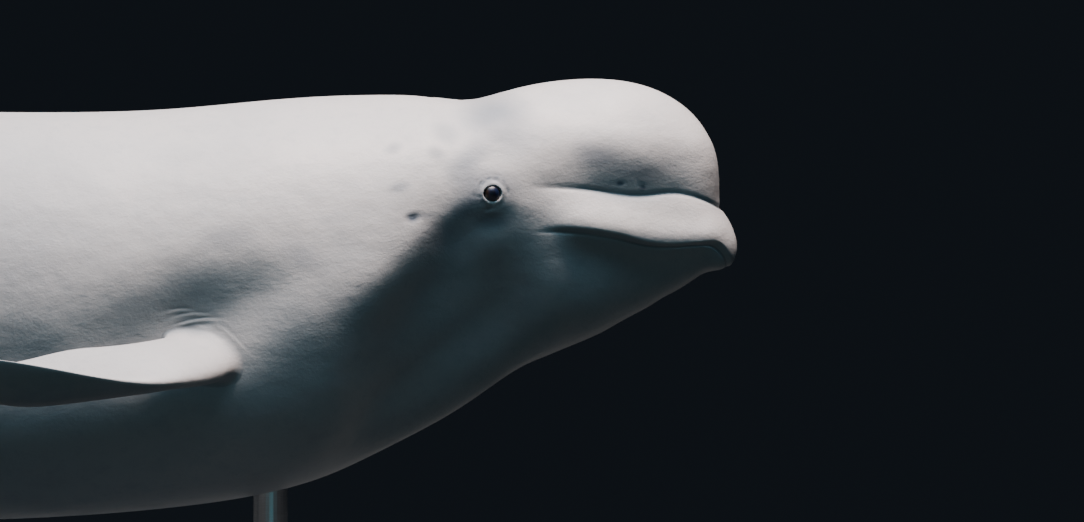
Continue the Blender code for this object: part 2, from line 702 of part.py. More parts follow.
# Blowhole: a shallow crescent a little left of the midline
arc = np.linspace(-BLOWHOLE_ARC, BLOWHOLE_ARC, BLOWHOLE_STEPS)
outer = np.stack([BLOWHOLE_RADIUS * np.cos(arc), BLOWHOLE_RADIUS * np.sin(arc)], axis=1)
inner = outer[-2:0:-1] * [1.0, BLOWHOLE_SQUEEZE] - [BLOWHOLE_WIDTH, 0.0]
crescent = np.concatenate([outer, inner])
crescent = crescent - [BLOWHOLE_RADIUS, 0.0]
crescent = crescent + [NOSE_X - BLOWHOLE_BACK, BLOWHOLE_LEFT]
tool = prism("cut", crescent, LEVEL_Z + BLOWHOLE_FLOOR, LEVEL_Z + BLOWHOLE_TOP,
             plan_place)
combine(head, tool, "DIFFERENCE")
drop(tool)
finish(head, "head", "skin", SOFT_ANGLE)
finish(neck, "neck", "skin", SOFT_ANGLE)

# Flippers, each with a plug that sits in a pocket of the trunk
flipper_turns = np.linspace(0, 2 * math.pi, FLIPPER_COLUMNS, endpoint=False)
flipper_steps = np.sin(np.linspace(0, 0.5, FLIPPER_RINGS + 1) * math.pi) ** 1.05
pocket_steps = np.concatenate([[POCKET_START], flipper_steps[1:POCKET_RINGS]])
for side, name in ((1, "flipper_left"), (-1, "flipper_right")):
    rings = to_world(flipper_grid(flipper_steps, flipper_turns), side)
    flipper = ring_mesh(name, rings, rings[0].mean(axis=0), None)
    rings = to_world(flipper_grid(pocket_steps, flipper_turns, PART_GAP), side)
    pocket = ring_mesh("pocket", rings, rings[0].mean(axis=0), rings[-1].mean(axis=0))
    combine(trunk, pocket, "DIFFERENCE")
    drop(pocket)
    finish(flipper, name, "skin", SOFT_ANGLE)

# Low ridge along the back, parted by a shallow box
tool = prism("cut", RIDGE_CUT, -RIDGE_CUT_HALF_WIDTH, RIDGE_CUT_HALF_WIDTH, side_place)
dorsal_ridge = copy_of(trunk, "dorsal_ridge")
combine(dorsal_ridge, tool, "INTERSECT")
wide_half = RIDGE_CUT_HALF_WIDTH + PART_GAP
wide = prism("wide_cut", offset_outline(RIDGE_CUT, PART_GAP), -wide_half, wide_half,
             side_place)
combine(trunk, wide, "DIFFERENCE")
drop(tool, wide)
finish(dorsal_ridge, "dorsal_ridge", "skin", SOFT_ANGLE)

# Display stand: a flat base and two round rods into holes of the belly
corner = np.linspace(0, 0.5 * math.pi, CORNER_STEPS)
quarter = np.stack([np.cos(corner), np.sin(corner)], axis=1) * BASE_CORNER
reach = np.array([BASE_LENGTH / 2 - BASE_CORNER, BASE_WIDTH / 2 - BASE_CORNER])
outline = []
for quadrant, way in enumerate(((1, 1), (-1, 1), (-1, -1), (1, -1))):
    turned = np.linalg.matrix_power(np.array([[0, -1], [1, 0]]), quadrant)
    outline.extend(quarter @ turned.T + reach * np.array(way))
base = prism("stand_base", np.array(outline), 0.0, BASE_HEIGHT, plan_place)
finish(base, "stand_base", "base", STAND_ANGLE)
for x, keel, name in ((ROD_X, FRONT_KEEL, "stand_rod_front"),
                      (-ROD_X, REAR_KEEL, "stand_rod_rear")):
    top = LEVEL_Z + keel + ROD_SOCKET
    pole = rod(name, x, BASE_HEIGHT + FACE_GAP, top, ROD_RADIUS)
    hole = rod("hole", x, HOLE_LOW, top + FACE_GAP, ROD_RADIUS + FACE_GAP)
    combine(trunk, hole, "DIFFERENCE")
    drop(hole)
    finish(pole, name, "rod", STAND_ANGLE)
finish(trunk, "trunk", "skin", SOFT_ANGLE)
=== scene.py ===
import json
import math

import bmesh
import bpy
import numpy as np
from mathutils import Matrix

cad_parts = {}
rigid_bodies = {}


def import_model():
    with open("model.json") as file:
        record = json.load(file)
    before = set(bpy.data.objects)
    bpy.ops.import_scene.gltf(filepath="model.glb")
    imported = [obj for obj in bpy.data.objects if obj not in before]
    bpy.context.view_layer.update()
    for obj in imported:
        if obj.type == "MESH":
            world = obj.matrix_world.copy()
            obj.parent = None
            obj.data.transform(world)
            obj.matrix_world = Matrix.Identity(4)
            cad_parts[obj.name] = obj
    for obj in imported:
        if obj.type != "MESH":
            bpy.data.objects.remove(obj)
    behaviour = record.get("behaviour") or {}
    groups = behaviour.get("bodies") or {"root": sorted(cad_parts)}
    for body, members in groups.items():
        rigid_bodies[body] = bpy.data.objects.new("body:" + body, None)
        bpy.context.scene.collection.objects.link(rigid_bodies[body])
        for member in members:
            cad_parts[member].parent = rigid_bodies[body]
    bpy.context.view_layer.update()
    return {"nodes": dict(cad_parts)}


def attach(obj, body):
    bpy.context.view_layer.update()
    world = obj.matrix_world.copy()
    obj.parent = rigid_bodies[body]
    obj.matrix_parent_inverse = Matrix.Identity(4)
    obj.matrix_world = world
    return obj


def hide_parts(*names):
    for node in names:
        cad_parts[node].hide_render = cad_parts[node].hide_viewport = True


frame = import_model()

# Sizes in metres. The whale is laid out back from the snout tip, out from
# the midline and up from a level a little below the mouth, then moved so
# that the stand's middle on the floor is the origin.
NOSE_X = 1.58
LEVEL_Z = 0.75

# Slanted ovals from the mouth to the tail stock: crown back and up, keel
# back and up, half width, widest level as a fraction down, squareness and
# mouth line as a fraction down.
STATIONS = np.array([
    [0.019, 0.050, 0.019, 0.050, 0.000, 0.50, 2.0, 0.46],
    [0.007, 0.062, 0.034, 0.042, 0.034, 0.50, 2.0, 0.46],
    [0.000, 0.085, 0.052, 0.034, 0.056, 0.50, 2.0, 0.42],
    [0.004, 0.111, 0.070, 0.025, 0.071, 0.49, 2.0, 0.40],
    [0.014, 0.142, 0.086, 0.017, 0.081, 0.49, 2.0, 0.44],
    [0.022, 0.172, 0.102, 0.009, 0.089, 0.49, 2.0, 0.51],
    [0.028, 0.206, 0.119, 0.001, 0.096, 0.49, 2.0, 0.575],
    [0.039, 0.249, 0.140, -0.011, 0.104, 0.48, 2.0, 0.625],
    [0.060, 0.289, 0.164, -0.023, 0.112, 0.48, 2.05, 0.65],
    [0.093, 0.321, 0.192, -0.037, 0.122, 0.48, 2.05, 0.648],
    [0.141, 0.346, 0.225, -0.055, 0.136, 0.48, 2.1, 0.62],
    [0.203, 0.359, 0.267, -0.073, 0.152, 0.49, 2.1, 0.587],
    [0.272, 0.359, 0.313, -0.092, 0.169, 0.50, 2.1, 0.552],
    [0.337, 0.350, 0.357, -0.112, 0.187, 0.46, 2.1, 0.53],
    [0.399, 0.334, 0.409, -0.147, 0.205, 0.42, 2.1, 0.53],
    [0.454, 0.324, 0.461, -0.182, 0.219, 0.43, 2.1, 0.53],
    [0.508, 0.331, 0.516, -0.213, 0.238, 0.46, 2.1, 0.53],
    [0.573, 0.334, 0.585, -0.248, 0.258, 0.50, 2.1, 0.53],
    [0.663, 0.332, 0.671, -0.287, 0.279, 0.52, 2.15, 0.53],
    [0.777, 0.324, 0.780, -0.317, 0.301, 0.53, 2.2, 0.53],
    [0.908, 0.312, 0.908, -0.336, 0.319, 0.535, 2.2, 0.53],
    [1.054, 0.306, 1.054, -0.349, 0.335, 0.535, 2.2, 0.52],
    [1.250, 0.306, 1.250, -0.358, 0.348, 0.53, 2.2, 0.51],
    [1.500, 0.305, 1.500, -0.361, 0.354, 0.53, 2.2, 0.50],
    [1.800, 0.296, 1.800, -0.349, 0.345, 0.53, 2.2, 0.50],
    [2.100, 0.274, 2.100, -0.321, 0.314, 0.53, 2.15, 0.50],
    [2.400, 0.240, 2.400, -0.280, 0.266, 0.53, 2.1, 0.50],
    [2.700, 0.189, 2.700, -0.234, 0.212, 0.52, 2.05, 0.50],
    [3.000, 0.128, 3.000, -0.195, 0.158, 0.51, 2.0, 0.50],
    [3.250, 0.072, 3.250, -0.172, 0.117, 0.50, 2.0, 0.50],
    [3.450, 0.030, 3.450, -0.161, 0.084, 0.50, 2.0, 0.50],
    [3.620, 0.000, 3.620, -0.158, 0.062, 0.50, 2.0, 0.50],
])

# Soft rises and hollows of the flank: back, up, reach back, reach up, height.
# All that lies on the flank fades out toward the midline.
RELIEF = (
    (0.395, 0.176, 0.032, 0.026, 0.0030),
    (0.392, 0.126, 0.034, 0.024, -0.0075),
    (0.443, 0.108, 0.044, 0.045, -0.0120),
    (0.470, 0.060, 0.050, 0.090, -0.0060),
    (0.760, 0.010, 0.050, 0.056, -0.0100),
    (0.850, -0.026, 0.078, 0.068, -0.0265),
    (0.955, -0.068, 0.085, 0.064, -0.0165),
    (1.130, -0.105, 0.110, 0.060, -0.0110),
    (0.690, -0.030, 0.060, 0.055, 0.0070),
    (0.610, 0.025, 0.060, 0.050, 0.0060),
    (0.330, 0.235, 0.060, 0.050, 0.0040),
    (0.374, 0.252, 0.045, 0.045, -0.0060),
)
SIDE_FADE = 0.05

# Jowl: how far it falls in below a line from the eye down to the neck
JOWL_DEPTH = 0.0550
JOWL_BACK = 0.440
JOWL_UP = 0.204
JOWL_BEND = 0.06
JOWL_REACH = 0.110
JOWL_SLOPE = 1.15
JOWL_BOW = 1.0
JOWL_FRONT_SLOPE = 0.35
JOWL_OUT = 0.16
JOWL_START = (0.28, 0.38)
JOWL_END = (0.52, 0.68)

# Ear pit, the furrow ahead of it, two dimples over the lip and a fold in the
# lip: back, up, reach back, reach up, depth
PITS = (
    (0.521, 0.132, 0.0060, 0.0055, 0.0060),
    (0.503, 0.137, 0.0130, 0.0022, 0.0010),
    (0.1895, 0.188, 0.0045, 0.0028, 0.0022),
    (0.153, 0.185, 0.0050, 0.0030, 0.0020),
    (0.177, 0.123, 0.0045, 0.0160, 0.0008),
)

# Low ridge along the back
RIDGE_HEIGHT = 0.026
RIDGE_MIDDLE = 2.22
RIDGE_REACH = 0.30
RIDGE_HALF_WIDTH = 0.030
RIDGE_FADE = 0.1

# Crease between melon and upper lip: back, up and how deep the melon's base
# lies there. The fine line in it has a height, a middle and a reach over it.
LIP_CREASE = np.array([
    [0.020, 0.154, 0.010], [0.036, 0.160, 0.010], [0.065, 0.169, 0.010],
    [0.097, 0.1745, 0.012], [0.157, 0.169, 0.0140], [0.212, 0.1753, 0.0165],
    [0.270, 0.182, 0.009], [0.350, 0.180, 0.001], [0.450, 0.172, 0.000],
])
RECESS_REACH_UP = 0.034
RECESS_REACH_DOWN = 0.020
RECESS_POWER = 1.35
MELON_LIFT = 0.45
MELON_ABOVE = 0.082
MELON_REACH = 0.036
MELON_FADE = 0.04
CREASE_LINE = (-0.0030, -0.001, 0.0034)
CREASE_END = (0.25, 0.35)

# Upper lip, mouth slit and lower jaw, by the drop below the mouth line: height,
# middle and reach of the lip and the slit
LIP = (0.0175, -0.013, 0.032)
LIP_END = (0.240, 0.325)
LIP_FADE = 0.06
LIP_FRONT = 0.25
LIP_START = (0.005, 0.065)
LIP_STEP = 0.0105
STEP = (-0.011, -0.001)
STEP_FRONT = 0.35
STEP_START = (0.012, 0.057)
JAW = (0.02, 0.14)
SLIT = (-0.0022, 0, 0.0022)
SLIT_END = (0.290, 0.335)
SLIT_FRONT = 0.25
SLIT_START = (0.015, 0.050)

# Small folds of the flank near the flipper: back, up, slope, bow, half
# length, half width, depth. A rim below each is a share of its depth high.
FOLD_RIM_HEIGHT = 0.6
FOLD_RIM_DROP = 1.9
FOLD_RIM_WIDTH = 1.3
FIN_FOLDS = (
    (0.878, -0.0085, 0.00, 9.0, 0.034, 0.0024, 0.0007),
    (0.862, -0.0160, -0.06, 6.0, 0.030, 0.0022, 0.0006),
    (0.850, -0.0255, -0.11, 4.0, 0.038, 0.0024, 0.0010),
    (0.852, -0.0365, -0.08, 3.0, 0.032, 0.0022, 0.0010),
    (0.800, -0.0500, 0.95, 6.0, 0.020, 0.0026, 0.0010),
)

# Tail flukes: leading edge from the last oval's side to the tip and trailing
# edge from the notch to the tip, as back and out
FLUKE_LEAD = np.array([
    [3.620, 0.062], [3.665, 0.064], [3.705, 0.092], [3.745, 0.160],
    [3.795, 0.255], [3.862, 0.362], [3.925, 0.440], [3.968, 0.470],
])
FLUKE_TRAIL = np.array([
    [3.975, 0.000], [3.992, 0.030], [4.022, 0.095], [4.038, 0.175],
    [4.035, 0.265], [4.018, 0.350], [3.992, 0.425], [3.968, 0.470],
])
FLUKE_HALF_THICK = 0.016
FLUKE_FALL = 0.045
FLUKE_CORE_END = 0.9
FLUKE_CORE_NARROWING = 0.55
FLUKE_BLADE_START = 0.25
FLUKE_TIP_THINNING = 0.6
FLUKE_REAR_THINNING = 0.85
FLUKE_EDGE_POWER = 24
FLUKE_RING_POWER = 0.9

# Flippers: middle line, the way each section's front edge points at the root,
# the middle and the tip, and by place the reach ahead, behind and half thickness
FLIPPER_ROOT = (0.838, 0.238, -0.076)
FLIPPER_BEND = (0.888, 0.555, -0.116)
FLIPPER_TIP = (1.270, 0.550, -0.078)
FLIPPER_CHORDS = ((-0.90, 0.10, -0.56), (-0.60, 0.79, -0.25), (-0.60, 0.79, 0.02))
FLIPPER_TWISTS = ((0.0, 0.45), (0.40, 0.85))
FLIPPER_SIZES = np.array([
    [0.00, 0.058, 0.056, 0.024], [0.15, 0.060, 0.056, 0.024],
    [0.32, 0.082, 0.076, 0.023], [0.48, 0.112, 0.104, 0.020],
    [0.64, 0.124, 0.124, 0.015], [0.80, 0.122, 0.132, 0.012],
    [1.00, 0.120, 0.135, 0.009],
])
FLIPPER_CLOSING = 0.70
FLIPPER_ROUNDING = 2.2
FLIPPER_EDGE_POWER = 0.7
FLIPPER_FRONT_SWELL = 0.25
FLIPPER_CAMBER = 0.052
FLIPPER_CUP = (0.34, 0.80)
FLIPPER_CUP_LEAN = 0.3
FLIPPER_FOOT = 0.12
FLIPPER_WINDOW = (0.105, 0.085)
FLIPPER_MIDDLE = (0.846, -0.080)
FILLET_REACH = 0.020
FILLET_CLIMB = 0.075
FILLET_TRY = 0.01
FILLET_NARROWING = 0.4

# Eyes, and round them the lid, its creases and a furrow: height, middle and
# reach, by distance from the eye's middle or, for the furrow, height over it.
# The eyeball's own bulge goes by the angle from its axis.
EYE_RADIUS = 0.016
EYE_PLACE = (0.395, 0.170)
EYE_SINK = 0.0125
EYE_OPENING = 0.0128
EYE_SQUASH = 0.0016
EYE_CORNER = 0.0010
EYE_INNER = 0.72
EYE_HUB = 0.002
EYE_BULGE = (0.0005, 0, 0.55)
EYE_WINDOW = (0.040, 0.040)
LID_TUCK = 0.0075
LID_EDGE = (-0.0010, 0.0016)
LID_BLEND = (0, 0.12)
LID = (0.0015, 0.0160, 0.0036)
LID_CREASE = (-0.0012, 0.0240, 0.0021)
UPPER_CREASE = (-0.0009, 0.0305, 0.0015)
UPPER_CREASE_LEAN = 0.05
FURROW = (-0.0009, -0.00931, 0.0022)
FURROW_SLOPE = 0.22
FURROW_START = (0.0155, 0.0195)
FURROW_END = (0.030, 0.038)
# Waves round the lid: a level, then each wave's height, count and shift
LID_UNEVEN = (1, (0.25, 2, 0.7), (0.15, 5, 0))
CREASE_BROKEN = (0.45, (0.35, 5, 1.0), (0.20, 11, 0))
LID_CREASE_WAVE = (0, (0.0016, 3, math.pi / 2))
LID_CREASE_SPAN = (0.45, (0.95, 1, 0.25))
UPPER_CREASE_SPAN = (-0.5, (1.6, 1, 0))
# Pit and fold below the eye: ahead, above, reach ahead, reach above, height
EYE_FOLDS = (
    (-0.0050, -0.0240, 0.0050, 0.0034, -0.0016),
    (0.0010, -0.0300, 0.0110, 0.0044, 0.0007),
)

# Blowhole: centres of its crescent and its plug, and the height, middle
# and reach of the slit, the lips and the plug
BLOWHOLE_LEFT = 0.010
BLOWHOLE_CENTRE = 0.464
BLOWHOLE_PLUG_CENTRE = 0.460
BLOWHOLE_FRONT = (-0.458, -0.448)
BLOWHOLE_CROWN = (0.25, 0.30)
BLOWHOLE_SLIT = (-0.0100, 0.021, 0.0042)
BLOWHOLE_LIPS = (0.0025, 0.021, 0.013)
BLOWHOLE_PLUG = (0.0020, 0, 0.014)

# Skin mesh
SIDE_COLUMNS = 144
MOUTH_COLUMN = 75
COLUMN_CROWDING = 0.40
HEAD_END = 4.00
HEAD_EVEN = 0.55
HEAD_POWER = 2.2
FINE_END = 6.40
EVENING = (6.40, 9.40)
HEAD_RINGS = 130
FINE_RINGS = 72
REAR_RINGS = 96
FLUKE_RINGS = 40
EYE_RINGS = 30
EYE_CROWDING = 1.25
ROOT_RINGS = 26
FILLET_RINGS = 9
FLIPPER_RINGS = 46
HOLLOW_SCALE = 0.02

# Steps for the skin's slopes, and searches over it: ring places, shares of half
# a turn and shares of the flipper as start, end and count, and the rounds of a
# closer search with the longest move of each
NORMAL_STEP = 1e-4
NORMAL_START = 0.02
FRAME_STEP = 2e-3
SEARCH_STEP = 1e-3
SEARCH_PLACES = (2.2, 6.2, 321)
SEARCH_TURNS = (0.1, 0.7, 121)
EXIT_TRIES = (0.02, 0.50, 25)
SEARCH_ROUNDS = 8
SEARCH_REACH = (0.3, 0.2)
ON_MIDLINE = 1e-6
FLANK_OUT = 0.05

# Chart of the skin's right half: left, right, low and high of each sheet
CHART_HEAD = (0.004, 0.470, 0.004, 0.496)
CHART_FLANK = (0.476, 0.640, 0.004, 0.496)
CHART_SEAM = (0.6405, 0.6455, 0.004, 0.496)
CHART_REAR = (0.646, 0.830, 0.004, 0.496)
CHART_FLUKE = (0.836, 0.900, 0.004, 0.496)
CHART_EYE = (0.906, 0.970, 0.004, 0.200)
CHART_EYE_CAP = (0.974, 0.996, 0.004, 0.200)
CHART_FLIPPER = (0.906, 0.996, 0.206, 0.496)

# Marks of the skin and painted light: back, up, half length, half height, turn in
# degrees, and strength, above nought for dark and below for pale. Some are the
# skin's own scars, streaks, a speck and grey mottles; most dark ones are painted
# shade in pits, creases and hollows and over the rear flank, and the pale ones on
# the upper lip and the lids are painted highlights.
MARKS_AND_PAINTED_SHADE_HIGHLIGHTS = (
    # Painted shade in the ear pit, the furrow ahead of it and the two dimples over the
    # lip
    (0.5215, 0.1315, 0.015, 0.0125, 0.0, 0.95),
    (0.505, 0.1345, 0.03, 0.008, 6.0, 0.4),
    (0.1925, 0.188, 0.0095, 0.0065, 0.0, 0.95),
    (0.156, 0.1805, 0.0095, 0.0065, 0.0, 0.95),
    # A dark speck, a pale scar on the lip, pale scars and dark streaks on the flank
    (0.1453, 0.1426, 0.0042, 0.0036, 0.0, 0.8),
    (0.1785, 0.118, 0.021, 0.0045, 37.0, -0.8),
    (0.774, 0.085, 0.016, 0.003, -22.0, -0.8),
    (0.854, 0.094, 0.02, 0.0028, -7.0, -0.4),
    (1.03, 0.009, 0.013, 0.0035, -12.0, 0.4),
    (0.604, 0.0245, 0.011, 0.0035, 25.0, 0.45),
    # Grey mottles of the neck
    (0.553, 0.242, 0.022, 0.013, 20.0, 0.5),
    (0.485, 0.235, 0.022, 0.015, -30.0, 0.45),
    (0.542, 0.18, 0.026, 0.013, 10.0, 0.55),
    # Darker grey over the nape and temple: partly mottling, partly painted shade of the
    # hollow between melon and neck
    (0.385, 0.285, 0.095, 0.07, -30.0, 0.72),
    (0.425, 0.235, 0.042, 0.033, 40.0, 0.55),
    (0.47, 0.265, 0.038, 0.026, -25.0, 0.45),
    # Painted shade in the recess over the upper lip
    (0.23, 0.23, 0.06, 0.03, -14.0, 0.55),
    (0.16, 0.205, 0.065, 0.024, -6.0, 0.45),
    # Painted shade behind the eye
    (0.445, 0.205, 0.04, 0.048, 15.0, 0.5),
    # Soft grey patches ahead of the flipper and over it
    (0.69, 0.07, 0.06, 0.03, -30.0, 0.35),
    (0.81, 0.1, 0.07, 0.03, 12.0, 0.3),
    # Broad painted shade over the rear flank, where the light falls off
    (1.2, 0.12, 0.28, 0.22, 0.0, 0.28),
    # Painted highlight along the upper lip
    (0.17, 0.13, 0.16, 0.042, 4.0, -0.85),
    # Painted shade round the lids, a painted highlight on the lid and painted shade
    # along the lid creases
    (0.398, 0.179, 0.058, 0.044, 0.0, 0.66),
    (0.3955, 0.1685, 0.03, 0.027, 0.0, -0.85),
    (0.4105, 0.187, 0.0067, 0.0032, 48.0, 0.7),
    (0.402, 0.1945, 0.0075, 0.0032, 22.0, 0.7),
    (0.3895, 0.1965, 0.0075, 0.0029, -6.0, 0.65),
    (0.3775, 0.19, 0.0067, 0.0029, -40.0, 0.5),
    # Painted shade below and behind the eye, along the furrow and over the jowl
    (0.396, 0.128, 0.042, 0.022, 0.0, 0.6),
    (0.438, 0.148, 0.034, 0.024, 35.0, 0.35),
    (0.418, 0.16, 0.03, 0.005, -8.0, 0.45),
    (0.436, 0.156, 0.048, 0.03, 20.0, 0.34),
    (0.478, 0.105, 0.06, 0.042, 40.0, 0.3),
    (0.45, 0.1, 0.09, 0.06, 30.0, 0.3),
    # Painted highlight on the lower lid
    (0.3925, 0.156, 0.021, 0.017, 0.0, -0.7),
)
MARK_CORE = 0.15
MARK_THROUGH = 10.0
# Tints for dark scars and painted shade, and for pale scars and painted highlights
DARK_MARK_AND_PAINTED_SHADE = (0.22, 0.26, 0.32, 1.0)
PALE_MARK_AND_PAINTED_HIGHLIGHT = (0.92, 0.89, 0.87, 1.0)
SKIN_PALE = (0.830, 0.795, 0.785, 1.0)
SKIN_GREY = (0.650, 0.650, 0.665, 1.0)
SKIN_PORE = (0.52, 0.54, 0.56, 1.0)
# Painted shade for folds and hollows, and painted highlight for crests
PAINTED_FOLD_SHADE = (0.30, 0.33, 0.36, 1.0)
PAINTED_CREST_HIGHLIGHT = (0.86, 0.84, 0.82, 1.0)

# Floor, lights and camera. Lights: place, target, size, power and colour.
FLOOR_RADIUS = 3.4
FLOOR_MIDDLE_X = -0.4
FLOOR_DROP = 0.0005
LIGHTS = {
    "key": ((1.5, -0.68, 4.1), (1.1, 0.0, 0.8), (2.3, 1.3), 262.0,
            (1.0, 0.800, 0.715)),
    "room": ((0.4, -1.1, 5.0), (0.4, -0.5, 0.8), (5.0, 5.5), 195.0,
             (0.40, 0.76, 1.0)),
    "house": ((0.0, 0.0, 5.0), (0.0, 0.0, 0.0), (5.0, 5.0), 150.0,
              (1.0, 0.97, 0.95)),
    "side_fill": ((1.6, -6.0, 0.7), (0.8, 0.0, 0.8), (4.0, 2.0), 6.2,
                  (0.10, 0.72, 0.86)),
}
WORLD_COLOUR = (0.0065, 0.0085, 0.0115, 1.0)
CAMERA_DISTANCE = 7.0
CAMERA_SENSOR = 36.0
FRAME_WIDTH = 1.767
FRAME_MIDDLE_BACK = 0.3175
FRAME_MIDDLE_UP = 0.0636

# CAD nodes that the one skin stands for
FLESH = ("head", "lower_jaw", "neck", "trunk", "dorsal_ridge", "tail_stock",
         "fluke_left", "fluke_right", "flipper_left", "flipper_right")


def smooth_spline(knots, values, at):
    """Natural cubic spline through rows of values at knots, read at places at.

    Between two knots it is the chord bent by the second slopes at both ends,
    which come from the condition that the first slopes meet at each knot.
    """
    gap = np.diff(knots)
    rise = np.diff(values, axis=0) / gap[:, None]
    count = len(knots)
    system = np.eye(count)
    right = np.zeros_like(values)
    inner = np.arange(1, count - 1)
    system[inner, inner - 1] = gap[:-1]
    system[inner, inner] = 2 * (gap[:-1] + gap[1:])
    system[inner, inner + 1] = gap[1:]
    right[inner] = 6 * np.diff(rise, axis=0)
    bend = np.linalg.solve(system, right)
    cell = np.clip(np.searchsorted(knots, at, side="right") - 1, 0, count - 2)
    width = gap[cell][..., None]
    left = (at - knots[cell])[..., None]
    rest = width - left
    return (
        (bend[cell] * rest ** 3 + bend[cell + 1] * left ** 3) / (6 * width)
        + (values[cell] / width - bend[cell] * width / 6) * rest
        + (values[cell + 1] / width - bend[cell + 1] * width / 6) * left
    )


def station_knots():
    """Running sum of the square roots of the steps between stations."""
    steps = np.linalg.norm(np.diff(STATIONS[:, :4], axis=0), axis=1)
    return np.concatenate([[0.0], np.cumsum(np.sqrt(steps))])


KNOTS = station_knots()


def easy_step(value):
    """Smooth rise from 0 to 1 as value goes from 0 to 1."""
    value = np.clip(value, 0.0, 1.0)
    return value * value * (3 - 2 * value)


def change(value, ends):
    """Smooth rise from 0 to 1 as value goes from the first end to the second."""
    return easy_step((value - ends[0]) / (ends[1] - ends[0]))


def unit(ways):
    """The same directions with length 1."""
    return ways / np.linalg.norm(ways, axis=-1, keepdims=True)


def across(ways, normal):
    """The share of directions that is square to a direction of length 1."""
    return ways - normal * np.sum(ways * normal, axis=-1, keepdims=True)


def from_front(share, back, ends):
    """Rise from a share at the snout to 1, between two places back."""
    return share + (1 - share) * change(back, ends)


def bell(value, middle, reach):
    """Smooth bump of height 1 around middle."""
    return np.exp(-((value - middle) / reach) ** 2)


def swell(value, row):
    """Bump along one measure, from a row of height, middle and reach."""
    height, middle, reach = row
    return height * bell(value, middle, reach)


def mounds(first, second, rows):
    """Sum of bumps over a side view, from rows of two middles, two reaches, height."""
    return sum(height * bell(first, middle, reach) * bell(second, other, wide)
               for middle, other, reach, wide, height in rows)


def waves(angle, level, *rows):
    """Sine waves round a ring on a level, from rows of height, count and shift."""
    return level + sum(height * np.sin(count * angle + shift)
                       for height, count, shift in rows)


def crowded_turns():
    """Column angles crown to keel, closer together along the mouth line."""
    share = np.arange(SIDE_COLUMNS + 1) / SIDE_COLUMNS
    mouth = MOUTH_COLUMN / SIDE_COLUMNS
    wave = np.sin(2 * math.pi * (share - mouth)) + math.sin(2 * math.pi * mouth)
    return math.pi * (share - COLUMN_CROWDING * wave / (2 * math.pi))


TURNS = crowded_turns()
EVEN_TURNS = math.pi * np.arange(SIDE_COLUMNS + 1) / SIDE_COLUMNS
MOUTH_TURN = TURNS[MOUTH_COLUMN]


def plain_oval(at, turn):
    """Base body: slanted ovals of a superellipse, skewed to their widest level.

    at holds ring places in knots, turn the angles from crown 0 to keel pi.
    The angles are shifted so that the angle MOUTH_TURN follows the mouth line.
    Returns back, out, up and the drop below the mouth line.
    """
    rows = smooth_spline(KNOTS, STATIONS, at)
    half, widest, square, mouth = (rows[..., i] for i in range(4, 8))
    skew = widest - 0.5
    skew = np.where(np.abs(skew) < 1e-6, 1e-6, skew)
    level = (np.sqrt(0.25 - 4 * skew * (mouth - widest)) - 0.5) / (2 * skew)
    side = (1 - np.abs(level) ** square) ** (1 / square)
    shift = np.arctan2(side, level) - MOUTH_TURN
    above = turn / MOUTH_TURN
    below = (math.pi - turn) / (math.pi - MOUTH_TURN)
    share = np.where(turn < MOUTH_TURN, above * (2 - above), below * (2 - below))
    angle = turn + shift * share
    cosine = np.cos(angle)
    sine = np.abs(np.sin(angle))
    radius = (sine ** square + np.abs(cosine) ** square) ** (-1 / square)
    down = radius * cosine
    fraction = 0.5 * (1 - down) + (widest - 0.5) * (1 - down * down)
    back = rows[..., 0] + (rows[..., 2] - rows[..., 0]) * fraction
    up = rows[..., 1] + (rows[..., 3] - rows[..., 1]) * fraction
    length = np.hypot(rows[..., 2] - rows[..., 0], rows[..., 3] - rows[..., 1])
    return back, half * radius * sine, up, (fraction - mouth) * length


def jowl_fall(back, out, up):
    """How far the jowl falls inward, below a line from the eye down to the neck."""
    behind = 0.5 * (back - JOWL_BACK + np.hypot(back - JOWL_BACK, JOWL_BEND))
    ahead = behind - (back - JOWL_BACK)
    line = JOWL_UP - JOWL_SLOPE * behind + JOWL_BOW * behind ** 2
    below = np.maximum(line - JOWL_FRONT_SLOPE * ahead - up, 0.0) / JOWL_REACH
    fall = (1 - np.exp(-below ** 2)) * easy_step(out / JOWL_OUT)
    return JOWL_DEPTH * fall * change(back, JOWL_START) * (1 - change(back, JOWL_END))


def melon_rise(back, out, up):
    """Melon over its base, which sinks in at the crease above the upper lip."""
    course = np.clip(back, LIP_CREASE[0, 0], LIP_CREASE[-1, 0])
    crease = smooth_spline(LIP_CREASE[:, 0], LIP_CREASE[:, 1:], course)
    off = up - crease[..., 0]
    reach = np.where(off > 0, RECESS_REACH_UP, RECESS_REACH_DOWN)
    recess = np.exp(-(np.abs(off) / reach) ** RECESS_POWER)
    melon = bell(off, MELON_ABOVE, MELON_REACH) * easy_step(out / MELON_FADE)
    fine = swell(off, CREASE_LINE) * (1 - change(back, CREASE_END))
    return crease[..., 1] * (MELON_LIFT * melon - recess) + fine


def mouth_rise(back, out, drop):
    """Upper lip's ledge, which overhangs the mouth slit and the set-in lower jaw."""
    ledge = easy_step(out / LIP_FADE) * from_front(LIP_FRONT, back, LIP_START)
    step = from_front(STEP_FRONT, back, STEP_START) * change(drop, STEP)
    step = LIP_STEP * (step - change(drop, JAW))
    slit = from_front(SLIT_FRONT, back, SLIT_START) * (1 - change(back, SLIT_END))
    lip = swell(drop, LIP) * ledge - step
    return lip * (1 - change(back, LIP_END)) + swell(drop, SLIT) * slit


def ridge_rise(back, out, up):
    """Low ridge along the back, which fades out toward both ends."""
    length = np.exp(-((back - RIDGE_MIDDLE) / RIDGE_REACH) ** 4)
    crest = bell(out, 0, RIDGE_HALF_WIDTH) * easy_step(up / RIDGE_FADE)
    return RIDGE_HEIGHT * length * crest


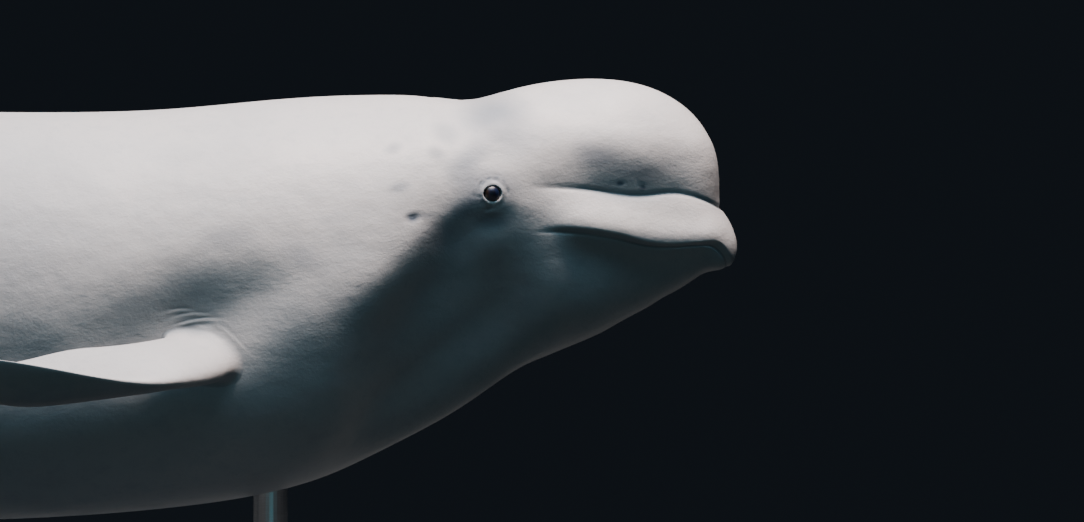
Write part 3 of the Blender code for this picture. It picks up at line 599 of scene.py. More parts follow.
def fin_folds(back, up):
    """Small bowed folds near the flipper, each with a low rim under it."""
    rise = 0
    for fold_back, fold_up, slope, bow, half, wide, deep in FIN_FOLDS:
        along = back - fold_back
        line = fold_up + slope * along - bow * along ** 2
        rim = bell(up, line - FOLD_RIM_DROP * wide, FOLD_RIM_WIDTH * wide)
        fold = FOLD_RIM_HEIGHT * rim - bell(up, line, wide)
        rise = rise + deep * fold * np.exp(-(along / half) ** 4)
    return rise


def relief(back, out, up, drop):
    """Height of folds, hollows and lips over the plain ovals at each point."""
    flank = mounds(back, up, RELIEF) - mounds(back, up, PITS) + fin_folds(back, up)
    rise = easy_step(out / SIDE_FADE) * flank - jowl_fall(back, out, up)
    rise += melon_rise(back, out, up) + mouth_rise(back, out, drop)
    return rise + ridge_rise(back, out, up)


def oval_points(at, turn):
    """Points of the base body, with back, out and up along the last axis."""
    return np.stack(np.broadcast_arrays(*plain_oval(at, turn)[:3]), axis=-1)


def skin_points(at, turn):
    """Skin of the right half at places at and angles turn, in whale measure.

    The relief lifts each point of the base body along its normal, the cross
    product of a short step back along the body and one round it.
    """
    at = np.asarray(at, float)
    turn = np.asarray(turn, float)
    step = NORMAL_STEP
    first = np.clip(at, NORMAL_START, None)
    inner = np.clip(turn, step, math.pi - step)
    along = oval_points(first + step, inner) - oval_points(first - step, inner)
    around = oval_points(first, inner + step) - oval_points(first, inner - step)
    normal = unit(np.cross(along, around))
    rise = relief(*plain_oval(at, turn))
    points = oval_points(at, turn) + normal * rise[..., None]
    middle = (turn < ON_MIDLINE) | (turn > math.pi - ON_MIDLINE)
    points[..., 1] = np.where(middle, 0.0, points[..., 1])
    return points, normal


def fluke_edge(corners, share):
    """Smooth edge of a fluke through its corners, read at shares of its length."""
    return smooth_spline(np.linspace(0, 1, len(corners)), corners, share)


def fluke_points(along, turn):
    """Rings that spread from the tail stock over the right fluke.

    The plan runs out straight from the midline to the leading edge, and bows by
    as much as the trailing edge lies behind the line from notch to tip. Height
    is the stock's fading oval joined with a blade that thins to its edges.
    """
    along = np.asarray(along, float)[:, None]
    turn = np.asarray(turn, float)[None, :]
    reach = np.sin(turn) + 0 * along
    reach[:, [0, -1]] = 0.0
    start = STATIONS[-1]
    notch, tip = FLUKE_TRAIL[[0, -1]]
    lead = fluke_edge(FLUKE_LEAD, along[:, 0])
    trail = fluke_edge(FLUKE_TRAIL, reach[0])
    a = along[..., None]
    r = reach[..., None]
    middle = (1 - a) * [start[0], 0.0] + a * notch
    bow = trail - (1 - r) * notch - r * tip
    plan = (1 - r) * middle + r * lead[:, None] + a * bow
    back = plan[..., 0]
    out = plan[..., 1]
    stock_half = 0.5 * (start[1] - start[3])
    fade = 1 - easy_step(along / FLUKE_CORE_END)
    stock_width = start[4] * (1 - FLUKE_CORE_NARROWING * along)
    oval = np.clip(1 - (out / stock_width) ** 2, 0, None)
    core = stock_half * fade * np.sqrt(oval)
    outer = 1 - FLUKE_TIP_THINNING * np.clip(out / tip[1], 0, 1)
    edge = np.sqrt(np.clip(1 - reach ** 2, 0, None))
    thin = 1 - FLUKE_REAR_THINNING * easy_step(along)
    blade = FLUKE_HALF_THICK * outer * thin * np.sqrt(edge)
    blade = blade * easy_step(along / FLUKE_BLADE_START)
    half = np.sqrt(core ** 2 + blade ** 2)
    half = half * np.sqrt(np.clip(1 - along ** FLUKE_EDGE_POWER, 0, 1))
    level = 0.5 * (start[1] + start[3]) - FLUKE_FALL * (back - start[0])
    side = np.sign(np.round(np.cos(turn), 9))
    return np.stack([back, out, level + side * half], axis=2)


def flipper_points(along, turn):
    """Flipper surface at places along it, 0 root to 1 tip, and angles round it.

    The middle line is a bent curve through root, bend and tip. Each section is
    an oval, thicker in front, and toward the tip it is cupped so that its front
    edge turns up. Both arguments have the same shape.
    """
    u = along[..., None]
    root, bend, tip = (np.array(p) for p in (FLIPPER_ROOT, FLIPPER_BEND, FLIPPER_TIP))
    line = (1 - u) ** 2 * root + 2 * u * (1 - u) * bend + u * u * tip
    tangent = unit((1 - u) * (bend - root) + u * (tip - bend))
    first, second, third = (np.array(c) for c in FLIPPER_CHORDS)
    chord = first + (second - first) * change(u, FLIPPER_TWISTS[0])
    chord = chord + (third - chord) * change(u, FLIPPER_TWISTS[1])
    chord = unit(across(chord, tangent))
    upward = np.cross(chord, tangent)
    upward *= np.sign(upward[..., 2:3])
    size = smooth_spline(FLIPPER_SIZES[:, 0], FLIPPER_SIZES[:, 1:], along)
    near_tip = np.clip((along - FLIPPER_CLOSING) / (1 - FLIPPER_CLOSING), 0, 1)
    closing = np.sqrt(np.clip(1 - near_tip ** FLIPPER_ROUNDING, 0, 1))
    cosine = np.cos(turn)
    reach = np.where(cosine > 0, size[..., 0], size[..., 1]) * closing * cosine
    height = size[..., 2] * closing ** FLIPPER_EDGE_POWER * np.sin(turn)
    height = height * (1 + FLIPPER_FRONT_SWELL * cosine)
    cup = FLIPPER_CAMBER * change(along, FLIPPER_CUP) * closing
    height = height - cup * (1 - cosine ** 2) * (1 + FLIPPER_CUP_LEAN * cosine)
    return line + chord * reach[..., None] + upward * height[..., None]


class Sheets:
    """Grids of points of the right half, joined by shared point numbers."""

    def __init__(self):
        self.points = []
        self.count = 0
        self.faces = []
        self.corners = []

    def add(self, points):
        """Store points of any grid shape and return their numbers."""
        flat = points.reshape(-1, 3)
        numbers = np.arange(self.count, self.count + len(flat))
        self.points.append(flat)
        self.count += len(flat)
        return numbers.reshape(points.shape[:-1])

    def quads(self, numbers, chart, keep=None, around=False):
        """Faces of a grid; chart holds the UV of each grid point."""
        if around:
            numbers = np.concatenate([numbers, numbers[:, :1]], axis=1)
        a, b = numbers[:-1, :-1], numbers[:-1, 1:]
        c, d = numbers[1:, 1:], numbers[1:, :-1]
        quads = np.stack([a, b, c, d], axis=2)
        u, v, w, x = chart[:-1, :-1], chart[:-1, 1:], chart[1:, 1:], chart[1:, :-1]
        corners = np.stack([u, v, w, x], axis=2)
        if keep is None:
            keep = np.ones(a.shape, bool)
        self.faces.append(quads[keep])
        self.corners.append(corners[keep])


def window(places, columns, middle, reach):
    """Grid rows and columns that bound a rectangle round a side-view place."""
    grid, _ = skin_points(places[:, None], columns[None, :])
    inside_back = np.abs(grid[..., 0] - middle[0]) < reach[0]
    inside_up = np.abs(grid[..., 2] - middle[1]) < reach[1]
    inside = inside_back & inside_up & (grid[..., 1] > FLANK_OUT)
    rows = np.flatnonzero(inside.any(axis=1))
    cols = np.flatnonzero(inside.any(axis=0))
    return rows[0], rows[-1], cols[0], cols[-1]


def rim(rows, cols):
    """Row and column numbers round the edge of a rectangle, in order."""
    low_row, high_row = rows
    low_col, high_col = cols
    down = np.arange(low_row, high_row)
    across = np.arange(low_col, high_col)
    row = np.concatenate([
        np.full(len(across), low_row), down,
        np.full(len(across), high_row), down[::-1] + 1])
    col = np.concatenate([
        across, np.full(len(down), high_col),
        across[::-1] + 1, np.full(len(down), low_col)])
    return row, col


def patch_frame(at, turn):
    """Point on the skin and unit axes there: forward, up and outward.

    The last value turns a step along the first two axes into a step of ring
    place and column angle.
    """
    shifts = FRAME_STEP * np.array([[0, -1, 1, 0, 0], [0, 0, 0, -1, 1]])
    spots, _ = skin_points(at + shifts[0], turn + shifts[1])
    point, ahead, behind, above, below = spots
    outward = unit(np.cross(ahead - behind, above - below))
    outward *= np.sign(outward[1])
    ahead_axis = unit(across(np.array([-1.0, 0.0, 0.0]), outward))
    up_axis = np.cross(ahead_axis, outward)
    up_axis *= np.sign(up_axis[2])
    ways = np.stack([behind - ahead, below - above], axis=1) / (2 * FRAME_STEP)
    slopes = np.stack([ahead_axis, up_axis]) @ ways
    return point, ahead_axis, up_axis, outward, np.linalg.inv(slopes)


def find_place(back, up):
    """Ring place and column angle whose skin point lies at a side-view place."""
    places = np.linspace(*SEARCH_PLACES)
    turns = np.linspace(*SEARCH_TURNS) * math.pi
    grid, _ = skin_points(places[:, None], turns[None, :])
    miss = (grid[..., 0] - back) ** 2 + (grid[..., 2] - up) ** 2
    i, j = np.unravel_index(np.argmin(miss), miss.shape)
    return places[i], turns[j]


FLIPPER_AT, FLIPPER_TURN = find_place(*FLIPPER_MIDDLE)
EYE_AT, EYE_TURN = find_place(*EYE_PLACE)
EYE_SPOT, EYE_AHEAD, EYE_UP, EYE_OUT, EYE_SLOPES = patch_frame(EYE_AT, EYE_TURN)
EYE_CENTRE = EYE_SPOT - EYE_OUT * EYE_SINK


def lid_height(ahead, above):
    """Height of lids and folds round the eye, over the flank, by place.

    A pale rounded lid stands round the opening. A thin crease runs over it from
    corner to corner, with a fainter one above, a furrow leads back from the rear
    corner, and a small pit and a soft fold lie below.
    """
    reach = np.hypot(ahead, above)
    angle = np.arctan2(above, ahead)
    broken = waves(angle, *CREASE_BROKEN)
    crease = swell(reach - waves(angle, *LID_CREASE_WAVE), LID_CREASE)
    upper = swell(reach + UPPER_CREASE_LEAN * ahead, UPPER_CREASE)
    rise = waves(angle, *LID_UNEVEN) * swell(reach, LID)
    rise += easy_step(waves(angle, *LID_CREASE_SPAN)) * broken * crease
    rise += easy_step(waves(angle, *UPPER_CREASE_SPAN)) * broken * upper
    ends = change(-ahead, FURROW_START) * (1 - change(-ahead, FURROW_END))
    rise += ends * swell(above + FURROW_SLOPE * ahead, FURROW)
    rise += mounds(ahead, above, EYE_FOLDS)
    edge = 1 - change(reach - eye_opening(angle), LID_EDGE)
    return rise * (1 - edge) - LID_TUCK * edge


def eye_opening(angle):
    """Radius of the lid opening, a little longer along the head than high."""
    corner = EYE_CORNER * np.abs(np.cos(angle)) ** 4
    return EYE_OPENING - EYE_SQUASH * np.sin(angle) ** 2 + corner


def even_angles(angle):
    """Angles spread evenly round a ring, in step with the given ones."""
    turned = np.unwrap(angle)
    way = np.sign(turned[-1] - turned[0])
    even = turned[0] + way * 2 * math.pi * np.arange(len(turned)) / len(turned)
    return even + np.mean(turned - even)


def eye_patch(sheets, numbers, places, spot):
    """Rings from a window in the skin in to the lids and under the eyeball."""
    rows, cols = rim(spot[:2], spot[2:])
    params = np.stack([places[rows], TURNS[cols]], axis=1)
    points, _ = skin_points(params[:, 0], params[:, 1])
    offset = points - EYE_SPOT
    even = even_angles(np.arctan2(offset @ EYE_UP, offset @ EYE_AHEAD))
    inner = eye_opening(even) * EYE_INNER
    inner_place = np.stack([inner * np.cos(even), inner * np.sin(even)])
    target = np.array([EYE_AT, EYE_TURN]) + (EYE_SLOPES @ inner_place).T
    rings = []
    for step in 1 - (1 - np.linspace(0, 1, EYE_RINGS + 1)[1:]) ** EYE_CROWDING:
        place = params + (target - params) * step
        flat, _ = skin_points(place[:, 0], place[:, 1])
        local = flat - EYE_SPOT
        height = lid_height(local @ EYE_AHEAD, local @ EYE_UP) * change(step, LID_BLEND)
        rings.append(flat + EYE_OUT * height[:, None])
    return np.concatenate([numbers[rows, cols][None], sheets.add(np.stack(rings))])


def hermite(start, end, start_way, end_way, share):
    """Smooth curve between two points with given directions."""
    s = share
    return ((2 * s ** 3 - 3 * s ** 2 + 1) * start + (s ** 3 - 2 * s ** 2 + s) * start_way
            + (3 * s ** 2 - 2 * s ** 3) * end + (s ** 3 - s ** 2) * end_way)


def span(first, second):
    """Area between two side-view steps, above nought where they turn upward."""
    return first[..., 0] * second[..., 2] - first[..., 2] * second[..., 0]


def on_skin(back, up):
    """Ring place and column angle of side-view places on the flank.

    Each round goes on by the miss over the skin's slopes, as areas of steps.
    """
    at = np.full(back.shape, FLIPPER_AT)
    turn = np.full(back.shape, FLIPPER_TURN)
    target = np.stack([back, 0 * back, up], axis=-1)
    step = SEARCH_STEP
    for _ in range(SEARCH_ROUNDS):
        point = skin_points(at, turn)[0]
        by_at = (skin_points(at + step, turn)[0] - point) / step
        by_turn = (skin_points(at, turn + step)[0] - point) / step
        miss = target - point
        moves = np.stack([span(miss, by_turn), span(by_at, miss)]) / span(by_at, by_turn)
        at = at + np.clip(moves[0], -SEARCH_REACH[0], SEARCH_REACH[0])
        turn = turn + np.clip(moves[1], -SEARCH_REACH[1], SEARCH_REACH[1])
    return at, turn


def flipper_exit(angles):
    """Place along the flipper where each of its lines leaves the flank."""
    tries = np.linspace(*EXIT_TRIES)
    along, turn = np.broadcast_arrays(tries[:, None], angles[None, :])
    points = flipper_points(along, turn)
    under, _ = skin_points(*on_skin(points[..., 0], points[..., 2]))
    clear = points[..., 1] - under[..., 1]
    first = np.argmax(clear > 0, axis=0)
    line = np.arange(len(angles))
    low, high = clear[first - 1, line], clear[first, line]
    return tries[first] - (tries[1] - tries[0]) * high / (high - low)


def flipper_patch(sheets, numbers, places, spot):
    """Flipper grown out of a window in the flank through a rounded fillet.

    Rings close in over the skin from the window to the flipper's foot, bend
    through the fillet by a smooth curve, and follow the flipper to its tip.
    """
    rows, cols = rim(spot[:2], spot[2:])
    params = np.stack([places[rows], TURNS[cols]])
    points, _ = skin_points(*params)
    root = flipper_points(np.full(4, FLIPPER_FOOT), np.arange(4) * math.pi / 2)
    middle = root.mean(axis=0)
    chord = root[0] - root[2]
    upward = root[1] - root[3]
    away = points - middle
    even = even_angles(np.arctan2(away @ upward / (upward @ upward),
                                  away @ chord / (chord @ chord)))

    leave = flipper_exit(even)
    meet = flipper_points(leave, even)
    aside = unit((meet - meet.mean(axis=0))[:, [0, 2]])
    spread = FILLET_REACH * (1 - FILLET_NARROWING * np.abs(np.cos(even)))
    foot = on_skin(*(meet[:, [0, 2]] + aside * spread[:, None]).T)
    steps = np.linspace(0, 1, ROOT_RINGS + 1)[1:, None]
    lead_in = [start + (stop - start) * steps for start, stop in zip(params, foot)]
    flat, normal = skin_points(*lead_in)

    join = leave + FILLET_CLIMB
    start = flat[-1]
    end = flipper_points(join, even)
    length = np.linalg.norm(end - start, axis=1, keepdims=True)
    start_way = unit(across(meet - start, normal[-1])) * length
    end_way = unit(flipper_points(join + FILLET_TRY, even) - end) * length
    fillet = [hermite(start, end, start_way, end_way, s)
              for s in np.linspace(0, 1, FILLET_RINGS + 1)[1:]]
    outer = np.sin(np.linspace(0, 1, FLIPPER_RINGS + 1)[1:, None] * math.pi / 2)
    along = join + (1 - join) * outer
    blade = flipper_points(along, np.broadcast_to(even, along.shape))
    new = sheets.add(np.concatenate([flat, np.stack(fillet), blade]))
    new[-1] = new[-1, 0]
    return np.concatenate([numbers[rows, cols][None], new])


def lay_out(rows, columns, box):
    """UV of a grid that fills a box of the chart: left, right, low, high."""
    across = np.linspace(box[0], box[1], rows)[:, None]
    along = np.linspace(box[2], box[3], columns)[None, :]
    return np.stack(np.broadcast_arrays(across, along), axis=2)


def right_half():
    """All sheets of the right half: body, flukes, flipper and eyelids."""
    sheets = Sheets()
    start = np.arange(HEAD_RINGS + 1) / HEAD_RINGS
    head_places = HEAD_EVEN * start + (1 - HEAD_EVEN) * start ** HEAD_POWER
    fine_places = np.linspace(HEAD_END, FINE_END, FINE_RINGS + 1)[1:]
    places = np.concatenate([HEAD_END * head_places, fine_places])
    points, _ = skin_points(places[:, None], TURNS[None, :])
    points[0] = points[0].mean(axis=0) * [1.0, 0.0, 1.0]
    numbers = sheets.add(points)
    numbers[0] = numbers[0, 0]

    eye_spot = window(places, TURNS, EYE_PLACE, EYE_WINDOW)
    fin_spot = window(places, TURNS, FLIPPER_MIDDLE, FLIPPER_WINDOW)
    keep = np.ones((len(places) - 1, SIDE_COLUMNS), bool)
    for spot in (eye_spot, fin_spot):
        keep[spot[0]:spot[1], spot[2]:spot[3]] = False
    chart = np.concatenate([
        lay_out(HEAD_RINGS + 1, SIDE_COLUMNS + 1, CHART_HEAD),
        lay_out(FINE_RINGS, SIDE_COLUMNS + 1, CHART_FLANK)])
    sheets.quads(numbers, chart, keep)

    eye_numbers = eye_patch(sheets, numbers, places, eye_spot)
    eye_chart = lay_out(len(eye_numbers), eye_numbers.shape[1] + 1, CHART_EYE)
    sheets.quads(eye_numbers, eye_chart, around=True)
    hub = sheets.add((EYE_CENTRE + EYE_OUT * EYE_HUB)[None, :])
    cap = np.stack([eye_numbers[-1], np.broadcast_to(hub, eye_numbers[-1].shape)])
    sheets.quads(cap, lay_out(2, len(cap[0]) + 1, CHART_EYE_CAP), around=True)

    fin_numbers = flipper_patch(sheets, numbers, places, fin_spot)
    fin_chart = lay_out(len(fin_numbers), fin_numbers.shape[1] + 1, CHART_FLIPPER)
    sheets.quads(fin_numbers, fin_chart, around=True)

    # From here back every second column goes on, and the angles even out
    rear_places = np.linspace(FINE_END, KNOTS[-1], REAR_RINGS + 1)[1:]
    share = change(rear_places, EVENING)[:, None]
    coarse = TURNS[::2] * (1 - share) + EVEN_TURNS[::2] * share
    rear, _ = skin_points(np.broadcast_to(rear_places[:, None], coarse.shape), coarse)
    rear[:, [0, -1], 1] = 0.0
    steps = np.sin(0.5 * math.pi * np.linspace(0, 1, FLUKE_RINGS + 1)[1:])
    steps = steps ** FLUKE_RING_POWER
    fluke = fluke_points(steps, EVEN_TURNS[::2])
    rear_numbers = sheets.add(np.concatenate([rear, fluke]))
    half = SIDE_COLUMNS // 4
    rear_numbers[-1, half + 1:] = rear_numbers[-1, :half][::-1]
    rear_chart = np.concatenate([
        lay_out(REAR_RINGS, len(coarse[0]), CHART_REAR),
        lay_out(FLUKE_RINGS, len(coarse[0]), CHART_FLUKE)])
    sheets.quads(rear_numbers, rear_chart)

    # One row that passes from the fine columns to the coarse ones
    seam = lay_out(2, SIDE_COLUMNS + 1, CHART_SEAM)
    for store, close, wide in ((sheets.faces, numbers[-1], rear_numbers[0]),
                               (sheets.corners, seam[0], seam[1, ::2])):
        left, middle, right = close[:-1:2], close[1::2], close[2::2]
        low, high = wide[:-1], wide[1:]
        store.append(np.stack([left, middle, low, low], axis=1))
        store.append(np.stack([middle, right, high, low], axis=1))
    return sheets


def to_world(points, side):
    """Whale measure to world metres; side is -1 for the right, 1 for the left."""
    return np.stack([NOSE_X - points[..., 0], side * points[..., 1],
                     LEVEL_Z + points[..., 2]], axis=-1)


def closed_mesh(name, points, quads, corners=None):
    """Smooth object of quads, some pinched to a triangle, with faces turned outward."""
    keep = quads != np.roll(quads, 1, axis=1)
    sound = keep.sum(axis=1) >= 3
    keep &= sound[:, None]
    used, loops = np.unique(quads[keep], return_inverse=True)
    sizes = keep.sum(axis=1)[sound]
    data = bpy.data.meshes.new(name)
    data.vertices.add(len(used))
    data.vertices.foreach_set("co", points[used].astype(np.float32).ravel())
    data.loops.add(loops.size)
    data.loops.foreach_set("vertex_index", loops.astype(np.int32).ravel())
    data.polygons.add(len(sizes))
    data.polygons.foreach_set("loop_start", (np.cumsum(sizes) - sizes).astype(np.int32))
    data.update(calc_edges=True)
    if corners is not None:
        chart = data.uv_layers.new(name="OFBake")
        chart.data.foreach_set("uv", corners[keep].astype(np.float32).ravel())
    data.shade_smooth()
    item = bpy.data.objects.new(name, data)
    bpy.context.scene.collection.objects.link(item)
    work = bmesh.new()
    work.from_mesh(data)
    bmesh.ops.recalc_face_normals(work, faces=work.faces)
    work.to_mesh(data)
    work.free()
    return item


def mesh_rows(items, name, width, kind):
    """Values of a mesh's items as rows of the given width."""
    values = np.empty(len(items) * width, kind)
    items.foreach_get(name, values)
    return values.reshape(-1, width)


def hollow_map(item):
    """Store how far each point lies below or above the mean of its neighbours."""
    data = item.data
    place = mesh_rows(data.vertices, "co", 3, float)
    normal = mesh_rows(data.vertex_normals, "vector", 3, np.float32)
    edges = mesh_rows(data.edges, "vertices", 2, int)
    first, second = edges.T
    step = place[second] - place[first]
    length = np.linalg.norm(step, axis=1)
    lean = step / np.maximum(length, 1e-9)[:, None] ** 2
    count = len(place)
    total = np.zeros((count, 3))
    np.add.at(total, first, lean)
    np.add.at(total, second, -lean)
    share = np.maximum(np.bincount(edges.ravel(), minlength=count), 1)
    bend = np.sum(total * normal, axis=1) / share
    for _ in range(2):
        spread = np.zeros(count)
        np.add.at(spread, first, bend[second])
        np.add.at(spread, second, bend[first])
        bend = 0.5 * bend + 0.5 * spread / share
    layer = data.attributes.new("hollow", "FLOAT", "POINT")
    layer.data.foreach_set("value", (bend * HOLLOW_SCALE).astype(np.float32))


def blowhole_drop(points):
    """Sink a crescent a little left of the midline on the crown, in place."""
    back = NOSE_X - points[:, 0]
    across = points[:, 1] - BLOWHOLE_LEFT
    ring = np.hypot(back - BLOWHOLE_CENTRE, across)
    slit = swell(ring, BLOWHOLE_SLIT) * change(-back, BLOWHOLE_FRONT)
    plug = swell(np.hypot(back - BLOWHOLE_PLUG_CENTRE, across), BLOWHOLE_PLUG)
    crown = change(points[:, 2] - LEVEL_Z, BLOWHOLE_CROWN)
    points[:, 2] += crown * (slit + swell(ring, BLOWHOLE_LIPS) + plug)


def whale_skin():
    """The whole skin as one closed mesh, mirrored from its right half."""
    sheets = right_half()
    half = np.concatenate(sheets.points)
    middle = np.abs(half[:, 1]) < 1e-9
    count = len(half)
    other = np.where(middle, np.arange(count), np.arange(count) + count)
    points = np.concatenate([to_world(half, -1), to_world(half, 1)])
    blowhole_drop(points)
    quads = np.concatenate(sheets.faces)
    corners = np.concatenate(sheets.corners)
    flipped = corners * [1.0, -1.0] + [0.0, 1.0]
    quads = np.concatenate([quads, other[quads][:, ::-1]])
    corners = np.concatenate([corners, flipped[:, ::-1]])
    skin = closed_mesh("whale_skin", points, quads, corners)
    hollow_map(skin)
    return skin


def eyeball(name, side):
    """Eyeball with a slightly steeper clear front, as a grid round its axis."""
    rings, columns = 40, 56
    polar = np.linspace(0, math.pi, rings + 1)[:, None]
    turn = 2 * math.pi * np.arange(columns)[None, :] / columns
    radius = EYE_RADIUS + swell(polar, EYE_BULGE)
    axes = (EYE_AHEAD, EYE_UP, EYE_OUT)
    parts = (np.sin(polar) * np.cos(turn), np.sin(polar) * np.sin(turn),
             np.cos(polar) + 0 * turn)
    grid = EYE_CENTRE + sum((radius * p)[..., None] * a for p, a in zip(parts, axes))
    sheets = Sheets()
    numbers = sheets.add(grid)
    numbers[0] = numbers[0, 0]
    numbers[-1] = numbers[-1, 0]
    sheets.quads(numbers, lay_out(rings + 1, columns + 1, (0.01, 0.99, 0.01, 0.99)),
                 around=True)
    return closed_mesh(name, to_world(np.concatenate(sheets.points), side),
                       np.concatenate(sheets.faces), np.concatenate(sheets.corners))


class Graph:
    """Small helper that builds one material's nodes."""

    def __init__(self, name):
        self.material = bpy.data.materials.new(name)
        self.material.use_nodes = True
        self.tree = self.material.node_tree
        self.shader = self.tree.nodes["Principled BSDF"]

    def put(self, socket, value):
        """Link an output or set a plain value."""
        if isinstance(value, bpy.types.NodeSocket):
            self.tree.links.new(value, socket)
        else:
            socket.default_value = value

    def node(self, kind, inputs=None, **settings):
        """Add a node, set its properties and its inputs by name or number."""
        item = self.tree.nodes.new(kind)
        for key, value in settings.items():
            setattr(item, key, value)
        for key, value in (inputs or {}).items():
            self.put(item.inputs[key], value)
        return item

    def place(self):
        """Object coordinates, which are world metres here."""
        return self.node("ShaderNodeTexCoord").outputs["Object"]

    def scaled(self, scale, turn=(0, 0, 0)):
        """Object coordinates turned and stretched."""
        return self.node("ShaderNodeMapping",
                         {"Vector": self.place(), "Rotation": turn,
                          "Scale": scale}).outputs[0]

    def noise(self, vector, scale, detail, rough):
        """Fractal noise value."""
        return self.node("ShaderNodeTexNoise",
                         {"Vector": vector, "Scale": scale, "Detail": detail,
                          "Roughness": rough}).outputs[0]

    def ramp(self, value, low, high, out_low=0.0, out_high=1.0):
        """Smooth change of a value from one range to another."""
        return self.node("ShaderNodeMapRange",
                         {0: value, 1: low, 2: high, 3: out_low, 4: out_high},
                         interpolation_type="SMOOTHSTEP").outputs[0]

    def blend(self, factor, a, b):
        """Mix two colours."""
        item = self.node("ShaderNodeMix", data_type="RGBA")
        self.put(item.inputs["Factor"], factor)
        self.put(item.inputs[6], a)
        self.put(item.inputs[7], b)
        return item.outputs[2]

    def layers(self, colour, rows):
        """Lay tints over a colour: value, where it starts, is full, amount, tint."""
        for value, low, high, amount, tint in rows:
            colour = self.blend(self.ramp(value, low, high, 0.0, amount), colour, tint)
        return colour

    def mark(self, centre, size, turn, strength):
        """Soft oval mark of the side view, full near its centre and 0 past its size."""
        place = self.node("ShaderNodeMapping",
                          {"Vector": self.place(), "Location": centre, "Scale": size,
                           "Rotation": (0.0, -math.radians(turn), 0.0)},
                          vector_type="TEXTURE").outputs[0]
        away = self.node("ShaderNodeVectorMath", {0: place}, operation="LENGTH")
        return self.ramp(away.outputs["Value"], MARK_CORE, 1.0, strength, 0.0)

    def bump(self, height, distance, strength, normal=None):
        """Bump of a height in metres."""
        inputs = {"Height": height, "Distance": distance, "Strength": strength}
        if normal is not None:
            inputs["Normal"] = normal
        return self.node("ShaderNodeBump", inputs).outputs[0]

    def finish(self, colour=None, roughness=None, normal=None, metallic=None):
        """Feed the shader."""
        for name, value in (("Base Color", colour), ("Roughness", roughness),
                            ("Normal", normal), ("Metallic", metallic)):
            if value is not None:
                self.put(self.shader.inputs[name], value)
        return self.material


def skin_material():
    """Off-white skin with faint grey clouds, painted shade in folds, painted highlights
    on crests, marks with painted shade and highlights, and fine wrinkles.
    """
    g = Graph("whale_skin")
    hollow = g.node("ShaderNodeAttribute", attribute_name="hollow").outputs["Fac"]
    place = g.place()
    clouds = g.noise(g.scaled((1.0, 1.0, 1.3)), 7.0, 5.0, 0.55)
    blotches = g.noise(g.scaled((1.0, 1.0, 1.5), (0.0, 0.4, 0.0)), 24.0, 4.0, 0.6)
    colour = g.layers(SKIN_PALE, (
        (clouds, 0.46, 0.74, 0.45, SKIN_GREY),
        (blotches, 0.50, 0.76, 0.38, SKIN_GREY),
        (g.noise(place, 55.0, 4.0, 0.6), 0.52, 0.74, 0.30, SKIN_GREY),
        (g.noise(place, 420.0, 3.0, 0.6), 0.54, 0.74, 0.30, SKIN_PORE),
        # Painted shade in hollows and folds and painted highlight on crests, by the
        # hollow map
        (hollow, 0.04, 0.55, 0.55, PAINTED_FOLD_SHADE),
        (hollow, -0.04, -0.45, 0.25, PAINTED_CREST_HIGHLIGHT)))
    # Scars, streaks, mottles, painted shade and painted highlights as soft oval tints
    # that pass through to both sides
    for back, up, length, height, turn, strength in MARKS_AND_PAINTED_SHADE_HIGHLIGHTS:
        mark = g.mark((NOSE_X - back, 0.0, LEVEL_Z + up), (length, MARK_THROUGH, height),
                      turn, abs(strength))
        colour = g.blend(mark, colour, DARK_MARK_AND_PAINTED_SHADE if strength > 0 else PALE_MARK_AND_PAINTED_HIGHLIGHT)
    roughness = g.ramp(clouds, 0.3, 0.8, 0.42, 0.54)

    # Soft lumps, fine wrinkles across the body and pores
    soft = g.noise(g.scaled((17.0, 15.0, 24.0), (0.0, 0.5, 0.0)), 1.0, 3.0, 0.5)
    grain = g.noise(g.scaled((210.0, 160.0, 330.0), (0.0, 0.55, 0.0)), 1.0, 4.0, 0.6)
    normal = g.bump(soft, 0.006, 0.42)
    normal = g.bump(grain, 0.0012, 0.40, normal)
    normal = g.bump(g.noise(place, 900.0, 2.0, 0.5), 0.0004, 0.35, normal)
    shader = g.shader.inputs
    shader["Coat Weight"].default_value = 0.10
    shader["Coat Roughness"].default_value = 0.30
    shader["Specular IOR Level"].default_value = 0.45
    return g.finish(colour, roughness, normal)


